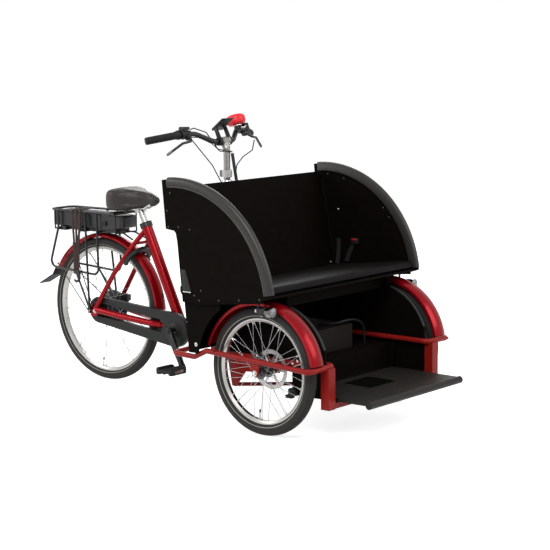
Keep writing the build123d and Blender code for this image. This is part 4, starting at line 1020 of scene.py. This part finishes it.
def swept_arc(section, centre, start, end, steps):
    """Closed section (radius, across) swept round the crosswise axis between two angles."""
    ahead = Vector((cos(start), 0.0, sin(start)))
    piece = chain([centre + ahead * radius + ACROSS * across for radius, across in section])
    bpy.ops.mesh.edge_face_add()
    bpy.ops.mesh.spin(steps=steps, angle=end - start, center=centre, axis=ACROSS)
    bpy.ops.mesh.select_all(action="SELECT")
    bpy.ops.mesh.remove_doubles(threshold=0.00002)
    bpy.ops.mesh.fill_holes(sides=0)
    seal()
    return piece


for side, name in SIDES:
    section = [(radius, side * across) for radius, across in EDGE_SECTION]
    edging = swept_arc(section, PANEL_ARC, EDGE_START, EDGE_END, 72)
    fit(paint(edging, edge_rubber), "panel_edging_" + name, "front_module")
    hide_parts("edge_trim_" + name)

# Backrest and bench
# Black boards with a padded cushion in smooth black vinyl that swells a little over the bench.
# Beads close the corners beside the backrest, and each place has a belt buckle at its side.
black_vinyl = Finish("black_vinyl", (0.0036, 0.0031, 0.0027), 0.5, Specular_IOR_Level=0.06)
black_vinyl.mottle((0.0026, 0.0022, 0.0019), (0.0046, 0.0040, 0.0035), 12.0, 4.0)
black_vinyl.sheen(0.4, 0.2, 36.0, 4.0)
vinyl_grain = black_vinyl.node("TexVoronoi", {}, {"Vector": black_vinyl.place, "Scale": 460.0})
black_vinyl.bump(vinyl_grain, 0.2, 0.0003)
black_board.coat("backrest", "seat_board")

beads = [rod((0.2829, side * 0.4838, 0.600), (0.2194, side * 0.4838, 0.928), 0.0018, sides=10)
         for side in (-1, 1)]
fit(paint(join(beads), black_vinyl), "backrest_beads", "front_module")

cushion = paint(stuffed("seat_cushion", 0.008, 5, 0.006), black_vinyl)
fit(cushion, "cushion_pad", "front_module", 60.0)
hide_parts("seat_cushion")

webbing = Finish("webbing", (0.012, 0.012, 0.012), 0.8, Specular_IOR_Level=0.15)
weave = webbing.node("TexWave", {"bands_direction": "DIAGONAL"}, {"Vector": webbing.place, "Scale": 160.0})
webbing.bump(weave, 0.4, 0.0004)
button_red = Finish("button_red", (0.45, 0.010, 0.010), 0.35)
button_red.sheen(0.3, 0.12, 120.0, 2.0)
BELT_THICK = 0.0018
for side, name in SIDES:
    def beside(x, inward, z):
        return Vector((x, side * (0.478 - inward), z))

    strap = ribbon([beside(0.3607, 0.002, 0.572), beside(0.368, 0.0, 0.600), beside(0.385, 0.0, 0.635),
                    beside(0.400, 0.001, 0.655)], 0.024, BELT_THICK, webbing, 1)
    shell = block(beside(0.389, 0.010, 0.652), beside(0.427, -0.004, 0.678), 0.003, case_plastic, 3)
    button = block(beside(0.396, 0.0135, 0.669), beside(0.420, 0.0095, 0.6765), 0.0008, button_red)
    fit(join([strap, shell, button]), "belt_buckle_" + name, "front_module")

tail_strap = ribbon([(0.3250, 0.4540, 0.5640), (0.3230, 0.4640, 0.5980), (0.3180, 0.4740, 0.6400),
                     (0.3150, 0.4770, 0.6720)], 0.022, BELT_THICK, webbing, 1)
anchor = bolt((0.3000, 0.4383, 0.5690), (1.0, 0.0, 0.0), 0.0046)
fit(join([tail_strap, anchor]), "belt_tail", "front_module")

# Inner walls, floor and locker
# Black boards beside the wheels with a dark guard round their arches, a floor between them and
# a closed locker under the bench. A bent dark hose runs from the locker down to the floor.
black_board.coat("inner_wall_right", "inner_wall_left", "floor_pan")
locker_board = Finish("locker_board", (0.012, 0.009, 0.0075), 0.56, Specular_IOR_Level=0.12)
locker_board.mottle((0.0055, 0.0042, 0.0034), (0.0095, 0.0072, 0.0058), 20.0, 4.0, (1.0, 4.0, 1.0))
locker_board.sheen(0.5, 0.16, 60.0, 3.0)
locker_board.coat("locker")

hose_plastic = Finish("hose_plastic", (0.010, 0.010, 0.0095), 0.5, Specular_IOR_Level=0.15)
hose_plastic.sheen(0.4, 0.14, 80.0, 3.0)


def bent_rod(points, radius, finish, name, body):
    """Round rod through points with rounded bends, made from a beveled curve."""
    bpy.ops.object.select_all(action="DESELECT")
    bpy.ops.curve.primitive_nurbs_path_add(location=(0.0, 0.0, 0.0))
    line = bpy.context.object
    spline = line.data.splines[0]
    if len(points) > len(spline.points):
        spline.points.add(len(points) - len(spline.points))
    for spot, point in zip(spline.points, list(points) + [points[-1]] * (len(spline.points) - len(points))):
        spot.co = (*point, 1.0)
    spline.order_u = 3
    spline.use_endpoint_u = True
    spline.resolution_u = 8
    line.data.bevel_depth = radius
    line.data.bevel_resolution = 3
    line.data.use_fill_caps = True
    bpy.ops.object.convert(target="MESH")
    piece = bpy.context.object
    edit(piece)
    seal()
    return fit(paint(piece, finish), name, body)


bent_rod([(0.560, 0.020, 0.3770), (0.620, 0.040, 0.3790), (0.640, 0.100, 0.3900), (0.642, 0.160, 0.3860),
          (0.640, 0.215, 0.3640), (0.636, 0.232, 0.3300), (0.634, 0.236, 0.2740)], 0.0050, hose_plastic,
         "locker_hose", "front_module")

edge_guard = Finish("edge_guard", (0.016, 0.017, 0.0165), 0.5, Specular_IOR_Level=0.2)
edge_guard.sheen(0.4, 0.14, 90.0, 3.0)
# Section of the guard: distance from the wheel's axle, distance from the vehicle's middle plane
GUARD_SECTION = [(0.2580, 0.3296), (0.2630, 0.3296), (0.2644, 0.3318), (0.2648, 0.3350), (0.2644, 0.3382),
                 (0.2630, 0.3404), (0.2580, 0.3404)]
for side, name in SIDES:
    section = [(radius, side * across) for radius, across in GUARD_SECTION]
    guard = swept_arc(section, Vector((FRONT_AXLE.x, 0.0, FRONT_AXLE.z)), radians(22.0), radians(74.0), 40)
    fit(paint(guard, edge_guard), "wall_edge_guard_" + name, "front_module")
    bolts = [bolt((x, side * 0.331, z), -ACROSS * side, 0.0050)
             for x, z in ((0.7366, 0.2912), (0.8106, 0.2886))]
    fit(join(bolts), "wall_bolts_" + name, "front_module")
    corner = block((0.7040, side * 0.3080, 0.1640), (0.7300, side * 0.3330, 0.2716), 0.0015, black_board)
    flange = block((0.7140, side * 0.3126, 0.1600), (0.8650, side * 0.3380, 0.1700), 0.0008, black_board)
    fit(join([corner, flange]), "wall_corner_strip_" + name, "front_module")

kick_board = block((0.3020, -0.3306, 0.2640), (0.3094, 0.3306, 0.3140), 0.001, black_board, 1)
fit(kick_board, "kick_board", "front_module")

# Front frame
# Welded steel tubes in plain red enamel: a bar outside each wheel, a plate inside it and the
# axle held between both. Nuts and bolts are bright zinc, apart from those painted over.
red_enamel = Finish("red_enamel", (0.235, 0.010, 0.008), 0.38, 0.0, Specular_IOR_Level=0.16)
red_enamel.mottle((0.210, 0.007, 0.005), (0.260, 0.012, 0.009), 20.0, 4.0)
red_enamel.sheen(0.34, 0.1, 70.0, 3.0)
red_enamel.coat("front_frame")
for side, name in SIDES:
    outside = ACROSS * side
    group = [paint(bolt((x, side * 0.4770, z), outside, 0.0050), red_enamel)
             for x, z in ((0.4191, 0.3260), (0.5445, 0.2990), (0.8909, 0.2870))]
    group += [bolt((x, side * 0.3465, z), outside, 0.0046) for x, z in ((0.7425, 0.300), (0.7171, 0.2871))]
    group.append(axle_nut(FRONT_AXLE + outside * 0.4692, outside, 0.0075))
    fit(join(group), "front_frame_bolts_" + name, "front_module")

    feet = [block((x, side * 0.3400, low), (x + 0.0340, side * 0.3620, high), 0.003, soft_rubber)
            for x, low, high in ((0.7050, 0.1600, 0.1890), (0.6900, 0.1490, 0.1620))]
    fit(join(feet), "foot_bracket_" + name, "front_module")

# Front fenders
# Red pressed sheet arched over each front wheel with its edges turned down, screwed to the frame
# through the crown.
red_lacquer.coat("front_fender_right", "front_fender_left")
FENDER_R = 0.284
for side, axle, name in ((-1, RIGHT_AXLE, "right"), (1, LEFT_AXLE, "left")):
    screws = []
    for turn in (150.0, 156.0):
        out = heading(turn)
        screws += [bolt(axle + out * (FENDER_R - 0.0006) + ACROSS * aside, out, 0.0032)
                   for aside in (-0.012, 0.012)]
    fit(join(screws), "fender_screws_" + name, "front_module")

# Headlights
# Small lamps with a dark chromed faceted reflector and a ribbed clear lens in a black housing,
# held by a black bracket above each front wheel.
black_lacquer.coat("headlight_right", "headlight_left")
lamp_chrome = Finish("lamp_chrome", (0.16, 0.16, 0.155), 0.18, 1.0)
lamp_chrome.sheen(0.1, 0.14, 90.0, 2.0)
clear_lens = Finish("clear_lens", (0.20, 0.205, 0.21), 0.14, Coat_Weight=0.3)
lens_ribs = clear_lens.node("TexWave", {"bands_direction": "Y"}, {"Vector": clear_lens.place, "Scale": 90.0})
clear_lens.bump(lens_ribs, 0.5, 0.0008)
for side, name in SIDES:
    lens_at, forward = Vector((0.6930, side * 0.4710, 0.5040)), Vector((1.0, 0.0, 0.0))
    shell = cube((0.652, lens_at.y - 0.017, 0.487), (0.694, lens_at.y + 0.017, 0.523))
    edit(shell)
    pick_faces(shell, lambda spot, normal: normal.x < -0.5)
    bpy.ops.transform.resize(value=(1.0, 0.6, 0.6), center_override=(0.652, lens_at.y, 0.505))
    leave()
    paint(rounded(shell, 0.005, 3), case_plastic)
    reflector = paint(turned([(0.0, 0.0), (0.0, 0.0170), (0.010, 0.0215), (0.030, 0.0225), (0.034, 0.0215),
                              (0.034, 0.0190), (0.031, 0.0185), (0.031, 0.0)], lens_at, forward, 10),
                      lamp_chrome)
    lens = paint(turned([(0.0300, 0.0), (0.0300, 0.0186), (0.0340, 0.0180), (0.0385, 0.0120), (0.0400, 0.0)],
                        lens_at, forward, 24), clear_lens)
    side_bolt = bolt((0.6380, side * 0.4695, 0.5050), ACROSS * side, 0.0046)
    low_bolt = bolt((0.6680, lens_at.y, 0.4875), -UPWARD, 0.0040)
    fit(join([shell, reflector, lens, side_bolt, low_bolt]), "headlight_lens_" + name, "front_module")

# Footboard
# Folded black sheet with a rolled front edge, a sunk hand slot and an open tube end each side.
foot_sheet = Finish("foot_sheet", (0.014, 0.0125, 0.011), 0.5, 0.1, Specular_IOR_Level=0.2)
foot_sheet.mottle((0.009, 0.0078, 0.0064), (0.015, 0.0130, 0.0108), 18.0, 4.0)
foot_sheet.sheen(0.42, 0.2, 44.0, 4.0)
foot_sheet.grain(300.0, 2.0, 0.15, 0.0004)
foot_sheet.coat("footboard")
# Painted shade: a near-black sheet sunk into the hand slot stands for the shadow deep in the recess
slot_shade_sheet = cube((0.7700, -0.0830, 0.1700), (0.9050, 0.0780, 0.1726))
inset_where(slot_shade_sheet, lambda spot, normal: normal.z > 0.5, thickness=0.004, depth=-0.0010)
slot_shade = Finish("slot_shade", (0.0016, 0.0015, 0.0014), 0.7, Specular_IOR_Level=0.02)
slot_shade.sheen(0.6, 0.2, 60.0, 2.0)
fit(paint(rounded(slot_shade_sheet, 0.0004, 1), slot_shade), "footboard_slot_shade", "front_module")
for side, name in SIDES:
    plug = turned([(0.0, 0.0), (0.0, 0.0150), (0.0012, 0.0150), (0.0018, 0.0135), (0.0018, 0.0105),
                   (0.0004, 0.0098), (0.0004, 0.0)], (1.0635, side * 0.312, 0.157), ACROSS * side, 24)
    fit(paint(plug, case_plastic), "footboard_plug_" + name, "front_module")
